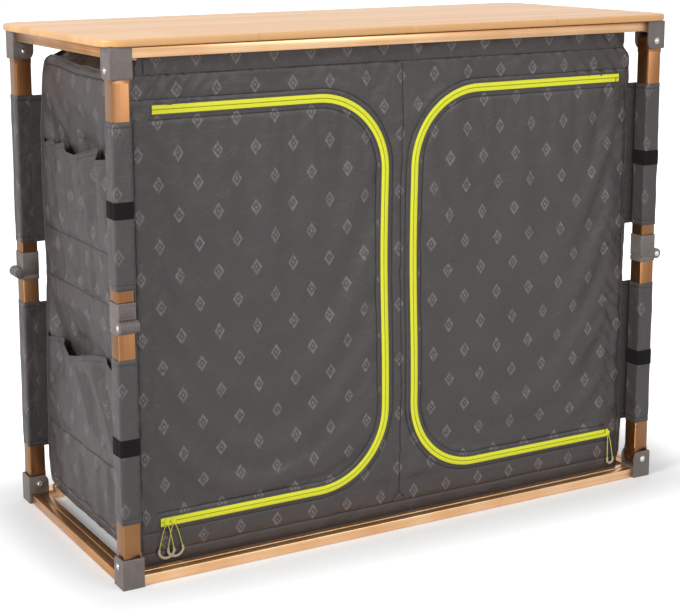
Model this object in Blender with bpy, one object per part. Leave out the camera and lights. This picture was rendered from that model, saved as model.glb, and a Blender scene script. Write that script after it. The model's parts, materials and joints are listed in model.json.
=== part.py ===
"""Folding camping cupboard: two flat aluminium frames carried by four elbow legs, a tabletop
and a fabric cupboard body with two zipped doors. Metres, +Z up, front towards -Y.
The origin is on the floor under the middle of the frames."""

import math

import bmesh
import bpy
from mathutils import Euler, Matrix, Vector

# Frame, outside the corner brackets
FRAME_WIDTH = 1.005
FRAME_DEPTH = 0.440
FRAME_HEIGHT = 0.800  # floor to the underside of the tabletop

# Clearances
SEAT_GAP = 0.0003  # between pieces that touch
SLIP_GAP = 0.0003  # between a spigot and its tube, and a tongue and its ears
PIN_GAP = 0.0003  # radial, between a rivet and the bore that turns on it
SWING_GAP = 0.0005  # round a part that turns inside another
FOLD_GAP = 0.0025  # between a rail and the leg folded down on it
CUT_OVERRUN = 0.002  # how far a cutter runs past the face it cuts

# Tubes and rails
TUBE = 0.028  # square leg tube
TUBE_CORNER = 0.003
TUBE_WALL = 0.0015
RAIL_WIDTH = 0.028
RAIL_HEIGHT = 0.0155
RAIL_LIFT = 0.001  # rails stand this far inside the outer faces of the brackets
RAIL_CORNER = 0.0015
RAIL_WALL = 0.0015
GROOVE_WIDTH = 0.004  # groove along the broad face of a rail
GROOVE_DEPTH = 0.0008

# Corner brackets
EAR = 0.00295  # wall of the clevis
EAR_RISE = 0.013  # ears beyond the pin
BRACKET = TUBE + 2 * (EAR + SLIP_GAP)
BRACKET_EDGE = 0.0012
PIN_HEIGHT = RAIL_LIFT + RAIL_HEIGHT + FOLD_GAP + TUBE / 2  # above the floor, and below the top
SPIGOT_LENGTH = 0.026
RIVET_RADIUS = 0.003
RIVET_HEAD_RADIUS = 0.005
RIVET_HEAD_HEIGHT = 0.0012
COLLAR = 0.004  # plug that shows between the rounded end and the tube

# Elbow hinges, halfway up each leg
ELBOW_RIM = 0.0012  # step from the tube to the fitting
ELBOW_SIDE = TUBE + 2 * ELBOW_RIM
ELBOW_CORNER = 0.003
ELBOW_STANDOFF = 0.0033  # pin outside the face of the fitting
ELBOW_OFFSET = ELBOW_SIDE / 2 + ELBOW_STANDOFF
ELBOW_ABOVE = 0.034  # upper fitting above the pin
ELBOW_BELOW = 0.012  # lower fitting below the pin
KNUCKLE_RADIUS = 0.009
CHEEK = 0.0034  # side walls of the upper fitting
CHEEK_DROP = 0.004  # cheeks below the pin
CHEEK_CORNER = 0.003
BARREL_WIDTH = ELBOW_SIDE - 2 * (CHEEK + SLIP_GAP)
BARREL_RIBS = 5
BARREL_GROOVE = 0.0016
BARREL_GROOVE_DEPTH = 0.0006
ELBOW_SPIGOT = 0.022
ELBOW_RIVET_RADIUS = 0.0025
ELBOW_HEAD_RADIUS = 0.0045
ELBOW_HEAD_HEIGHT = 0.001
BUTTON_MARGIN = 0.0042  # fitting on each side of the button
BUTTON_WIDTH = ELBOW_SIDE - 2 * BUTTON_MARGIN
BUTTON_HEIGHT = 0.0175
BUTTON_DEPTH = 0.0035
BUTTON_RECESS = 0.0006  # face of the button inside the face of the fitting
BUTTON_TRAVEL = 0.002
BUTTON_ABOVE_PIN = 0.0215  # middle of the button
BUTTON_EDGE = 0.001
BUTTON_GROOVE = 0.0014
BUTTON_GROOVE_DEPTH = 0.0006
BUTTON_GROOVES = 4

# Tabletop
TOP_THICKNESS = 0.0115
TOP_OVERHANG_SIDE = 0.012
TOP_OVERHANG_FRONT = 0.006
TOP_CORNER = 0.035
TOP_EDGE = 0.0035

# Fabric body
CLOTH = 0.0025  # thickness of the simplified cloth walls
SEAM_GAP = 0.0005  # between sewn pieces
PANEL_INSET = 0.0365  # outer face of the front panel behind the front of the frame
BACK_INSET = 0.034
SIDE_INSET = 0.0405
SHOULDER_LEAN = 0.042  # how far each side leans in at the top
SHOULDER_HEIGHT = 0.105
PANEL_FLANGE = 0.003  # front panel beyond the sides
PANEL_BOTTOM = 0.022
PANEL_DROP = 0.017  # below the tabletop
BOARD_THICKNESS = 0.003
SHELF_THICKNESS = 0.004
SHELF_HEIGHT = 0.400
SHELF_SETBACK = 0.012
BODY_WIDTH = FRAME_WIDTH - 2 * SIDE_INSET
PANEL_FACE = -FRAME_DEPTH / 2 + PANEL_INSET
BODY_FRONT = PANEL_FACE + CLOTH + SEAM_GAP
BODY_BACK = FRAME_DEPTH / 2 - BACK_INSET
BODY_MIDDLE = (BODY_FRONT + BODY_BACK) / 2

# Battens that the body hangs from
BATTEN_WIDTH = 0.016
BATTEN_HEIGHT = 0.030
BATTEN_SETBACK = 0.040  # from the front and back of the frame
BATTEN_INSET = 0.010  # from the upper edge of the body to the middle of the batten

# Outside pockets
POCKET_MARGIN = 0.028
POCKET_BULGE = 0.0075
POCKET_TAPER = 0.012
POCKET_MOUTH = 0.0035
POCKET_MOUTH_DEPTH = 0.020
UPPER_POCKET_SHARES = (0.6025, 0.7725)  # bottom and top, in shares of the frame height
LOWER_POCKET_SHARES = (0.1825, 0.365)

# Doors
DOOR_MARGIN = 0.032  # hinge edge from the side of the body
DOOR_POST = 0.055  # cloth between the doors
DOOR_BOTTOM = 0.079
DOOR_DROP = 0.095  # upper edge below the tabletop
DOOR_RADIUS = 0.120
DOOR_SLIT = 0.0012
DOOR_CLOTH = 0.0015
DOOR_OUTER = BODY_WIDTH / 2 - DOOR_MARGIN

# Base tubes under the fabric floor
BASE_TUBE_RADIUS = 0.008
BASE_TUBE_INSET = 0.0155  # middle of a tube from the front and back of the body
BASE_TUBE_BOTTOM = 0.018
CAP_PROUD = 0.002
CAP_LENGTH = 0.010
CAP_STEP = 0.0008

# Leg sleeves
SLEEVE_CLOTH = 0.0012
SLEEVE_EASE = 0.0004
SLEEVE_CORNER = 0.004
LOWER_SLEEVE_START = 0.067  # above the pin of the base bracket
LOWER_SLEEVE_END = 0.050  # below the elbow pin
UPPER_SLEEVE_START = 0.052  # above the elbow pin
UPPER_SLEEVE_END = 0.072  # below the pin of the top bracket

# Zip sliders
SLIDER_WIDTH = 0.010
SLIDER_HEIGHT = 0.008
SLIDER_DEPTH = 0.003
PULL_LENGTH = 0.052
PULL_WIDTH = 0.015
PULL_CORD = 0.0024
PULL_DEPTH = 0.0024
LEFT_SLIDER = 0.018  # first slider from the hinge edge of its door
SLIDER_PITCH = 0.018
RIGHT_SLIDER = -0.0025

CORNERS = ("front_left", "back_left", "back_right", "front_right")
ARC_STEPS = 4
ROUND_SIDES = 16
DOOR_STEPS = 10

PIN_SPAN = FRAME_HEIGHT - 2 * PIN_HEIGHT
HALF_LEG = PIN_SPAN / 2
TOP_PIN_Z = PIN_HEIGHT + PIN_SPAN


def clear_scene():
    for thing in list(bpy.data.objects):
        bpy.data.objects.remove(thing, do_unlink=True)


def material(name, colour, roughness, metallic=0.0):
    made = bpy.data.materials.new(name)
    made.use_nodes = True
    shader = made.node_tree.nodes["Principled BSDF"]
    shader.inputs["Base Color"].default_value = (*colour, 1.0)
    shader.inputs["Roughness"].default_value = roughness
    shader.inputs["Metallic"].default_value = metallic
    return made


# Outlines in two dimensions


def rectangle(width, height, middle=(0.0, 0.0)):
    x, y = width / 2, height / 2
    return [(middle[0] + a, middle[1] + b) for a, b in ((-x, -y), (x, -y), (x, y), (-x, y))]


def rounded(width, height, radius, middle=(0.0, 0.0), steps=ARC_STEPS):
    points = []
    for quarter, (a, b) in enumerate(((1, 1), (-1, 1), (-1, -1), (1, -1))):
        centre = (middle[0] + a * (width / 2 - radius), middle[1] + b * (height / 2 - radius))
        points += arc(centre, radius, quarter * math.pi / 2, (quarter + 1) * math.pi / 2, steps)
    return points


def arc(centre, radius, start, end, steps):
    turns = [start + (end - start) * i / steps for i in range(steps + 1)]
    return [(centre[0] + radius * math.cos(t), centre[1] + radius * math.sin(t)) for t in turns]


def circle(radius, middle=(0.0, 0.0), sides=ROUND_SIDES):
    return arc(middle, radius, 0.0, 2 * math.pi * (sides - 1) / sides, sides - 1)


# Solids


def in_space(point, along, distance):
    """A point of an outline, at a distance along one axis."""
    a, b = point
    return {"x": (distance, a, b), "y": (a, distance, b), "z": (a, b, distance)}[along]


def mesh_from(bm, name):
    bmesh.ops.recalc_face_normals(bm, faces=bm.faces[:])
    mesh = bpy.data.meshes.new(name)
    bm.to_mesh(mesh)
    bm.free()
    return mesh


def prism(outline, along, low, high, hole=None):
    """An extruded outline; a hole has as many points as the outline."""
    bm = bmesh.new()
    rings = []
    for points in (outline, hole):
        if points:
            rings.append([[bm.verts.new(in_space(p, along, t)) for p in points] for t in (low, high)])
    count = len(outline)
    for first, second in rings:
        for i in range(count):
            j = (i + 1) % count
            bm.faces.new((first[i], first[j], second[j], second[i]))
    for end in range(2):
        if hole:
            for i in range(count):
                j = (i + 1) % count
                outer, inner = rings[0][end], rings[1][end]
                bm.faces.new((outer[i], outer[j], inner[j], inner[i]))
        else:
            bm.faces.new(rings[0][end])
    return mesh_from(bm, "prism")


def stack(sections, along):
    """A solid through outlines of equal count, each at its own distance."""
    bm = bmesh.new()
    rings = [[bm.verts.new(in_space(p, along, t)) for p in points] for points, t in sections]
    count = len(rings[0])
    for first, second in zip(rings, rings[1:]):
        for i in range(count):
            j = (i + 1) % count
            bm.faces.new((first[i], first[j], second[j], second[i]))
    bm.faces.new(rings[0])
    bm.faces.new(rings[-1])
    return mesh_from(bm, "stack")


def helper(mesh):
    thing = bpy.data.objects.new("helper", mesh)
    bpy.context.scene.collection.objects.link(thing)
    thing.hide_render = True
    thing.display_type = "WIRE"
    return thing


def combined(mesh, others, operation):
    """Mesh with the others joined or cut away, one after another."""
    body = helper(mesh)
    tools = [helper(other) for other in others]
    for tool in tools:
        step = body.modifiers.new("step", "BOOLEAN")
        step.operation = operation
        step.solver = "EXACT"
        step.object = tool
    bpy.context.view_layer.update()
    graph = bpy.context.evaluated_depsgraph_get()
    result = bpy.data.meshes.new_from_object(body.evaluated_get(graph))
    for thing in [body, *tools]:
        bpy.data.objects.remove(thing, do_unlink=True)
    return result


def joined(mesh, *others):
    return combined(mesh, others, "UNION")


def cut(mesh, *others):
    return combined(mesh, others, "DIFFERENCE")


def upside_down(mesh):
    result = mesh.copy()
    result.transform(Matrix.Diagonal((1.0, 1.0, -1.0, 1.0)))
    result.flip_normals()
    return result


def piece(name, mesh, finish, location=(0.0, 0.0, 0.0), parent=None, turn=0.0):
    mesh.materials.clear()
    mesh.materials.append(finish)
    mesh.shade_smooth()
    mesh.set_sharp_from_angle(angle=math.radians(30))
    thing = bpy.data.objects.new(name, mesh)
    bpy.context.scene.collection.objects.link(thing)
    thing.location = location
    thing.rotation_euler = Euler((0.0, 0.0, turn))
    thing.parent = parent
    return thing


def pivot(name, location, turn=0.0, parent=None):
    empty = bpy.data.objects.new(name, None)
    bpy.context.scene.collection.objects.link(empty)
    empty.location = location
    empty.rotation_euler = Euler((0.0, 0.0, turn))
    empty.parent = parent
    return empty


# Corner parts are drawn for the front left corner: the leg folds towards +Y, its pins lie
# along X, and its elbow stands out towards -Y. The other corners are quarter turns of it.


def bracket_mesh():
    """Plastic corner: a clevis for the leg and two spigots for the rails, at floor level."""
    half = BRACKET / 2
    top = PIN_HEIGHT + EAR_RISE
    ear = [(-half, 0.0), (half, 0.0)]
    ear += arc((0.0, PIN_HEIGHT), half, 0.0, math.asin(EAR_RISE / half), ARC_STEPS)
    ear += [(-half + BRACKET_EDGE, top), (-half, top - BRACKET_EDGE)]
    slot_half = TUBE / 2 + SLIP_GAP
    slot_floor = PIN_HEIGHT - TUBE / 2 - SWING_GAP
    slot_outline = [
        (-slot_half, slot_floor),
        (half + CUT_OVERRUN, slot_floor),
        (half + CUT_OVERRUN, top + CUT_OVERRUN),
        (-slot_half, top + CUT_OVERRUN),
    ]
    body = cut(prism(ear, "x", -half, half), prism(slot_outline, "x", -slot_half, slot_half))
    spigot = rounded(
        RAIL_WIDTH - 2 * (RAIL_WALL + SLIP_GAP),
        RAIL_HEIGHT - 2 * (RAIL_WALL + SLIP_GAP) - GROOVE_DEPTH,
        RAIL_CORNER,
        (0.0, RAIL_LIFT + (RAIL_HEIGHT - GROOVE_DEPTH) / 2),
        1,
    )
    reach = half + SPIGOT_LENGTH
    spigots = [prism(spigot, along, 0.0, reach) for along in ("x", "y")]
    rivet = prism(circle(RIVET_RADIUS, (0.0, PIN_HEIGHT)), "x", -half, half)
    return joined(body, *spigots, rivet, *rivet_heads(half, (0.0, PIN_HEIGHT)))


def rivet_heads(face, middle, radius=RIVET_HEAD_RADIUS, height=RIVET_HEAD_HEIGHT):
    """A low head on each side of a rivet along X, sunk as far as it stands out."""
    outline = circle(radius, middle)
    return [prism(outline, "x", side * (face - height), side * (face + height)) for side in (-1, 1)]


def rail_mesh(length, along):
    """Hollow flat rail lying on the floor, with a shallow groove along its upper face."""
    outline = rounded(RAIL_WIDTH, RAIL_HEIGHT, RAIL_CORNER, (0.0, RAIL_HEIGHT / 2), 2)
    hollow = rounded(
        RAIL_WIDTH - 2 * RAIL_WALL,
        RAIL_HEIGHT - 2 * RAIL_WALL - GROOVE_DEPTH,
        RAIL_CORNER / 2,
        (0.0, (RAIL_HEIGHT - GROOVE_DEPTH) / 2),
        2,
    )
    rail = prism(outline, along, -length / 2, length / 2, hollow)
    groove = rectangle(GROOVE_WIDTH, 2 * GROOVE_DEPTH, (0.0, RAIL_HEIGHT))
    overrun = length / 2 + CUT_OVERRUN
    return cut(rail, prism(groove, along, -overrun, overrun))


def leg_mesh(fitting):
    """Half a leg, upwards from its pin: a tongue, and a tube open at the elbow end."""
    half = TUBE / 2 - SLIP_GAP
    start = TUBE / 2 + COLLAR
    tongue = arc((0.0, 0.0), half, -math.pi, 0.0, 2 * ARC_STEPS)
    tongue += [(half, start + CUT_OVERRUN), (-half, start + CUT_OVERRUN)]
    end = HALF_LEG - fitting - SEAT_GAP
    square = rounded(TUBE, TUBE, TUBE_CORNER)
    bore = rounded(TUBE - 2 * TUBE_WALL, TUBE - 2 * TUBE_WALL, TUBE_CORNER / 2)
    leg = joined(prism(square, "z", start, end), prism(tongue, "x", -half, half))
    hollow = prism(bore, "z", end - ELBOW_SPIGOT - CUT_OVERRUN, end + CUT_OVERRUN)
    pin_bore = prism(circle(RIVET_RADIUS + PIN_GAP), "x", -TUBE, TUBE)
    return cut(leg, hollow, pin_bore)


def elbow_spigot(start, end):
    side = TUBE - 2 * (TUBE_WALL + SLIP_GAP)
    return prism(rounded(side, side, TUBE_CORNER / 2, steps=1), "z", start, end)


def elbow_disc(radius, low, high):
    return prism(circle(radius, (-ELBOW_OFFSET, 0.0)), "x", low, high)


def elbow_block(low, high):
    return prism(rounded(ELBOW_SIDE, ELBOW_SIDE, ELBOW_CORNER), "z", low, high)


def upper_elbow_mesh():
    """Upper fitting: a cap on the tube with two cheeks, the rivet and the button's well."""
    half = ELBOW_SIDE / 2
    inner = BARREL_WIDTH / 2 + SLIP_GAP
    spigot = elbow_spigot(ELBOW_ABOVE - CUT_OVERRUN, ELBOW_ABOVE + ELBOW_SPIGOT - CUT_OVERRUN)
    knuckles = [elbow_disc(KNUCKLE_RADIUS, side * inner, side * half) for side in (-1, 1)]
    fitting = joined(elbow_block(-CHEEK_DROP, ELBOW_ABOVE), spigot, *knuckles)
    past = half + CUT_OVERRUN
    below = -CHEEK_DROP - CUT_OVERRUN
    split = SEAT_GAP / 2
    core = prism([(-past, below), (past, below), (past, split), (-past, split)], "x", -inner, inner)
    corner_top = CHEEK_CORNER - CHEEK_DROP + CUT_OVERRUN
    corner = [(half - CHEEK_CORNER - CUT_OVERRUN, below), (past, below), (past, corner_top)]
    swing = elbow_disc(KNUCKLE_RADIUS + SWING_GAP, -inner, inner)
    width, height = BUTTON_WIDTH + 2 * SLIP_GAP, BUTTON_HEIGHT + 2 * SLIP_GAP
    well_outline = rounded(width, height, BUTTON_EDGE, (0.0, BUTTON_ABOVE_PIN), 2)
    well_floor = -half + BUTTON_RECESS + BUTTON_DEPTH + BUTTON_TRAVEL + SEAT_GAP
    well = prism(well_outline, "y", -past, well_floor)
    fitting = cut(fitting, core, prism(corner, "x", -past, past), swing, well)
    rivet = elbow_disc(ELBOW_RIVET_RADIUS, -half, half)
    heads = rivet_heads(half, (-ELBOW_OFFSET, 0.0), ELBOW_HEAD_RADIUS, ELBOW_HEAD_HEIGHT)
    return joined(fitting, rivet, *heads)


def barrel_mesh():
    """Barrel with grooves round it."""
    middle = (-ELBOW_OFFSET, 0.0)
    rib = circle(KNUCKLE_RADIUS, middle)
    groove = circle(KNUCKLE_RADIUS - BARREL_GROOVE_DEPTH, middle)
    sections = [(rib, -BARREL_WIDTH / 2)]
    for i in range(1, BARREL_RIBS):
        low = BARREL_WIDTH * (i / BARREL_RIBS - 1 / 2) - BARREL_GROOVE / 2
        high = low + BARREL_GROOVE
        sections += [(rib, low), (groove, low), (groove, high), (rib, high)]
    sections.append((rib, BARREL_WIDTH / 2))
    return stack(sections, "x")


def lower_elbow_mesh():
    """Lower fitting: a low cap on the tube and the barrel that turns between the cheeks."""
    half = ELBOW_SIDE / 2
    inner = BARREL_WIDTH / 2
    past = half + CUT_OVERRUN
    cap = elbow_block(-ELBOW_BELOW, -CHEEK_DROP - SEAT_GAP)
    swings = [elbow_disc(KNUCKLE_RADIUS + SWING_GAP, side * inner, side * past) for side in (-1, 1)]
    core_middle = -(ELBOW_BELOW + SEAT_GAP / 2) / 2
    core_outline = rectangle(ELBOW_SIDE, ELBOW_BELOW - SEAT_GAP / 2, (0.0, core_middle))
    core = prism(core_outline, "x", -inner, inner)
    spigot = elbow_spigot(-ELBOW_BELOW - ELBOW_SPIGOT + CUT_OVERRUN, -ELBOW_BELOW + CUT_OVERRUN)
    fitting = joined(cut(cap, *swings), core, barrel_mesh(), spigot)
    return cut(fitting, elbow_disc(ELBOW_RIVET_RADIUS + PIN_GAP, -past, past))


def button_mesh():
    """Release button with grip grooves, in the well of the upper fitting."""
    face = -ELBOW_SIDE / 2 + BUTTON_RECESS
    outline = rounded(BUTTON_WIDTH, BUTTON_HEIGHT, BUTTON_EDGE, steps=2)
    plate = prism(outline, "y", face, face + BUTTON_DEPTH)
    pitch = BUTTON_HEIGHT / (BUTTON_GROOVES + 1)
    grooves = [
        prism(
            rectangle(BUTTON_WIDTH - 2 * pitch, BUTTON_GROOVE, (0.0, i * pitch - BUTTON_HEIGHT / 2)),
            "y",
            face - CUT_OVERRUN,
            face + BUTTON_GROOVE_DEPTH,
        )
        for i in range(1, BUTTON_GROOVES + 1)
    ]
    return cut(plate, *grooves)


def sleeve_mesh(length):
    inner = TUBE + 2 * SLEEVE_EASE
    outer = inner + 2 * SLEEVE_CLOTH
    return prism(
        rounded(outer, outer, SLEEVE_CORNER),
        "z",
        0.0,
        length,
        rounded(inner, inner, SLEEVE_CORNER - SLEEVE_CLOTH),
    )


# The fabric body


def floor_bottom():
    return BASE_TUBE_BOTTOM + 2 * BASE_TUBE_RADIUS + SEAT_GAP


def ceiling_top():
    return FRAME_HEIGHT - BATTEN_HEIGHT - SEAT_GAP


def body_outline(inset):
    """Front view of the fabric box: upright sides that lean in at the shoulder."""
    bottom = floor_bottom() + inset
    top = ceiling_top() - inset
    low = BODY_WIDTH / 2 - inset
    high = BODY_WIDTH / 2 - SHOULDER_LEAN - inset
    shoulder = ceiling_top() - SHOULDER_HEIGHT
    return [(-low, bottom), (low, bottom), (low, shoulder), (high, top), (-high, top), (-low, shoulder)]


def pocket_mesh(side, shares):
    """Outside pocket: a slab with sloping edges and an open mouth."""
    bottom, top = (share * FRAME_HEIGHT for share in shares)
    wall = BODY_WIDTH / 2 - CLOTH / 2
    face = BODY_WIDTH / 2 + POCKET_BULGE
    length = BODY_BACK - BODY_FRONT - 2 * POCKET_MARGIN
    middle = (BODY_MIDDLE, (bottom + top) / 2)
    foot = rectangle(length, top - bottom, middle)
    crown = rectangle(length - 2 * POCKET_TAPER, top - bottom - 2 * POCKET_TAPER, middle)
    slab = stack([(foot, side * wall), (foot, side * (wall + CLOTH)), (crown, side * face)], "x")
    mouth_outline = rectangle(length - 4 * POCKET_TAPER, 2 * POCKET_MOUTH_DEPTH, (BODY_MIDDLE, top))
    start = BODY_WIDTH / 2 + SEAM_GAP
    return cut(slab, prism(mouth_outline, "x", side * start, side * (start + POCKET_MOUTH)))


def body_mesh():
    shell = prism(body_outline(0.0), "y", BODY_FRONT, BODY_BACK)
    room = prism(body_outline(CLOTH), "y", BODY_FRONT - CUT_OVERRUN, BODY_BACK - CLOTH)
    height = ceiling_top() - floor_bottom() - CLOTH
    divider = rectangle(CLOTH, height, (0.0, (ceiling_top() + floor_bottom()) / 2))
    pockets = [
        pocket_mesh(side, shares) for side in (-1, 1) for shares in (UPPER_POCKET_SHARES, LOWER_POCKET_SHARES)
    ]
    return joined(cut(shell, room), prism(divider, "y", BODY_FRONT, BODY_BACK - CLOTH / 2), *pockets)


def door_outline(side, inset):
    """D shape: straight at the hinge edge, rounded at the zip side."""
    outer = DOOR_OUTER - inset
    inner = DOOR_POST / 2 + inset
    low, high = DOOR_BOTTOM + inset, FRAME_HEIGHT - DOOR_DROP - inset
    radius = DOOR_RADIUS - inset
    points = [(outer, low), (outer, high)]
    points += arc((inner + radius, high - radius), radius, math.pi / 2, math.pi, DOOR_STEPS)
    points += arc((inner + radius, low + radius), radius, math.pi, 3 * math.pi / 2, DOOR_STEPS)
    return [(side * x, z) for x, z in points]


def front_panel_mesh():
    height = FRAME_HEIGHT - PANEL_DROP - PANEL_BOTTOM
    outline = rectangle(BODY_WIDTH + 2 * PANEL_FLANGE, height, (0.0, PANEL_BOTTOM + height / 2))
    sheet = prism(outline, "y", PANEL_FACE, PANEL_FACE + CLOTH)
    start, end = PANEL_FACE - CUT_OVERRUN, PANEL_FACE + CLOTH + CUT_OVERRUN
    return cut(sheet, *[prism(door_outline(side, 0.0), "y", start, end) for side in (-1, 1)])


def door_mesh(side):
    """Door flap, drawn from its hinge edge."""
    outline = [(x - side * DOOR_OUTER, z) for x, z in door_outline(side, DOOR_SLIT)]
    return prism(outline, "y", 0.0, DOOR_CLOTH)


def slider_mesh():
    """Zip slider with its pull loop hanging down."""
    block = prism(rounded(SLIDER_WIDTH, SLIDER_HEIGHT, SLIDER_DEPTH / 2, steps=2), "y", -SLIDER_DEPTH, 0.0)
    radius = PULL_WIDTH / 2
    middle = (0.0, radius - PULL_LENGTH)

    def drop(inset):
        tip = (0.0, SLIDER_DEPTH / 2 - SLIDER_HEIGHT / 2 - inset)
        return [tip] + arc(middle, radius - inset, math.pi, 2 * math.pi, 2 * ARC_STEPS)

    back = (PULL_DEPTH - SLIDER_DEPTH) / 2
    loop = prism(drop(0.0), "y", back - PULL_DEPTH, back, drop(PULL_CORD))
    return joined(block, loop)


def base_tube_mesh():
    """Round tube with a stepped cap at each end, along X."""
    half = BODY_WIDTH / 2 + CAP_PROUD
    narrow = circle(BASE_TUBE_RADIUS - CAP_STEP)
    wide = circle(BASE_TUBE_RADIUS)
    cap = half - CAP_LENGTH
    return stack([(wide, -half), (wide, -cap), (narrow, -cap), (narrow, cap), (wide, cap), (wide, half)], "x")


def tabletop_mesh():
    """Board with a rounded edge."""
    width = FRAME_WIDTH + 2 * TOP_OVERHANG_SIDE
    depth = FRAME_DEPTH + 2 * TOP_OVERHANG_FRONT
    lower = [
        (TOP_EDGE * (1 - math.sin(turn)), TOP_EDGE * (1 - math.cos(turn)))
        for turn in (i * math.pi / 2 / ARC_STEPS for i in range(ARC_STEPS + 1))
    ]
    upper = [(inset, TOP_THICKNESS - rise) for inset, rise in reversed(lower)]
    return stack(
        [
            (rounded(width - 2 * inset, depth - 2 * inset, TOP_CORNER - inset, steps=2 * ARC_STEPS), rise)
            for inset, rise in lower + upper
        ],
        "z",
    )


def make_finishes():
    return {
        "copper": material("copper_anodised_aluminium", (0.52, 0.27, 0.12), 0.32, 1.0),
        "plastic": material("grey_nylon", (0.19, 0.17, 0.16), 0.5),
        "cloth": material("dark_polyester", (0.075, 0.068, 0.07), 0.8),
        "wood": material("bamboo_board", (0.76, 0.47, 0.22), 0.4),
        "board": material("shelf_board", (0.12, 0.11, 0.11), 0.6),
        "zip": material("lime_zip", (0.68, 0.74, 0.03), 0.45),
    }


def corner_places():
    """Name, middle and quarter turn of each corner, clockwise from the front left."""
    x = (FRAME_WIDTH - BRACKET) / 2
    y = (FRAME_DEPTH - BRACKET) / 2
    places = ((-x, -y), (-x, y), (x, y), (x, -y))
    return [(name, places[i], -i * math.pi / 2) for i, name in enumerate(CORNERS)]


def make_frames(finish, top_pivot):
    """Rails and brackets of both frames. The upper ones are the lower ones upside down."""
    origin = Vector(top_pivot.location)
    long_rail = rail_mesh(FRAME_WIDTH - 2 * (BRACKET + SEAT_GAP), "x")
    short_rail = rail_mesh(FRAME_DEPTH - 2 * (BRACKET + SEAT_GAP), "y")
    x = (FRAME_WIDTH - BRACKET) / 2
    y = (FRAME_DEPTH - BRACKET) / 2
    rails = (
        ("front", long_rail, (0.0, -y)),
        ("back", long_rail, (0.0, y)),
        ("left", short_rail, (-x, 0.0)),
        ("right", short_rail, (x, 0.0)),
    )
    for where, mesh, (a, b) in rails:
        piece(f"base_rail_{where}", mesh, finish["copper"], (a, b, RAIL_LIFT))
        place = Vector((a, b, FRAME_HEIGHT - RAIL_LIFT)) - origin
        piece(f"top_rail_{where}", upside_down(mesh), finish["copper"], place, top_pivot)
    lower = bracket_mesh()
    upper = upside_down(lower)
    for corner, (a, b), turn in corner_places():
        piece(f"base_bracket_{corner}", lower, finish["plastic"], (a, b, 0.0), None, turn)
        place = Vector((a, b, FRAME_HEIGHT)) - origin
        piece(f"top_bracket_{corner}", upper, finish["plastic"], place, top_pivot, turn)


def make_legs(finish):
    lower_leg = leg_mesh(ELBOW_BELOW)
    upper_leg = upside_down(leg_mesh(ELBOW_ABOVE))
    upper_elbow = upper_elbow_mesh()
    lower_elbow = lower_elbow_mesh()
    button = button_mesh()
    lower_sleeve = sleeve_mesh(HALF_LEG - LOWER_SLEEVE_START - LOWER_SLEEVE_END)
    upper_sleeve = sleeve_mesh(HALF_LEG - UPPER_SLEEVE_START - UPPER_SLEEVE_END)
    for corner, (a, b), turn in corner_places():
        foot = pivot(f"lower_pivot_{corner}", (a, b, PIN_HEIGHT), turn)
        piece(f"lower_leg_{corner}", lower_leg, finish["copper"], parent=foot)
        piece(f"lower_elbow_{corner}", lower_elbow, finish["plastic"], (0.0, 0.0, HALF_LEG), foot)
        piece(f"lower_sleeve_{corner}", lower_sleeve, finish["cloth"], (0.0, 0.0, LOWER_SLEEVE_START), foot)
        elbow = pivot(f"elbow_pivot_{corner}", (0.0, -ELBOW_OFFSET, HALF_LEG), parent=foot)
        parts = (
            ("upper_leg", upper_leg, "copper", HALF_LEG),
            ("upper_elbow", upper_elbow, "plastic", 0.0),
            ("lock_button", button, "plastic", BUTTON_ABOVE_PIN),
            ("upper_sleeve", upper_sleeve, "cloth", UPPER_SLEEVE_START),
        )
        for name, mesh, colour, height in parts:
            piece(f"{name}_{corner}", mesh, finish[colour], (0.0, ELBOW_OFFSET, height), elbow)


def make_top(finish, top_pivot):
    origin = Vector(top_pivot.location)
    place = Vector((0.0, 0.0, FRAME_HEIGHT + SEAT_GAP)) - origin
    piece("tabletop", tabletop_mesh(), finish["wood"], place, top_pivot)
    outline = rounded(BATTEN_WIDTH, BATTEN_HEIGHT, RAIL_CORNER, (0.0, -BATTEN_HEIGHT / 2), 2)
    half = FRAME_DEPTH / 2 - BATTEN_SETBACK
    batten = prism(outline, "y", -half, half)
    x = BODY_WIDTH / 2 - SHOULDER_LEAN - BATTEN_INSET
    for name, side in (("left", -1), ("right", 1)):
        place = Vector((side * x, 0.0, FRAME_HEIGHT)) - origin
        piece(f"top_batten_{name}", batten, finish["copper"], place, top_pivot)


def make_body(finish):
    piece("fabric_body", body_mesh(), finish["cloth"])
    piece("front_panel", front_panel_mesh(), finish["cloth"])
    outer = BODY_WIDTH / 2 - CLOTH - SEAM_GAP
    inner = CLOTH / 2 + SEAM_GAP
    front = BODY_FRONT + SHELF_SETBACK
    back = BODY_BACK - CLOTH - SEAM_GAP
    room = rectangle(outer - inner, back - front)
    shelf = prism(room, "z", 0.0, SHELF_THICKNESS)
    board = prism(room, "z", 0.0, BOARD_THICKNESS)
    for name, side in (("left", -1), ("right", 1)):
        x = side * (outer + inner) / 2
        y = (front + back) / 2
        piece(f"shelf_{name}", shelf, finish["board"], (x, y, SHELF_HEIGHT))
        piece(f"floor_board_{name}", board, finish["board"], (x, y, floor_bottom() + CLOTH + SEAT_GAP))
        hinge = pivot(f"door_pivot_{name}", (side * DOOR_OUTER, PANEL_FACE, 0.0))
        piece(f"door_{name}", door_mesh(side), finish["cloth"], parent=hinge)
    tube = base_tube_mesh()
    z = BASE_TUBE_BOTTOM + BASE_TUBE_RADIUS
    piece("base_tube_front", tube, finish["copper"], (0.0, BODY_FRONT + BASE_TUBE_INSET, z))
    piece("base_tube_back", tube, finish["copper"], (0.0, BODY_BACK - BASE_TUBE_INSET, z))


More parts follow.
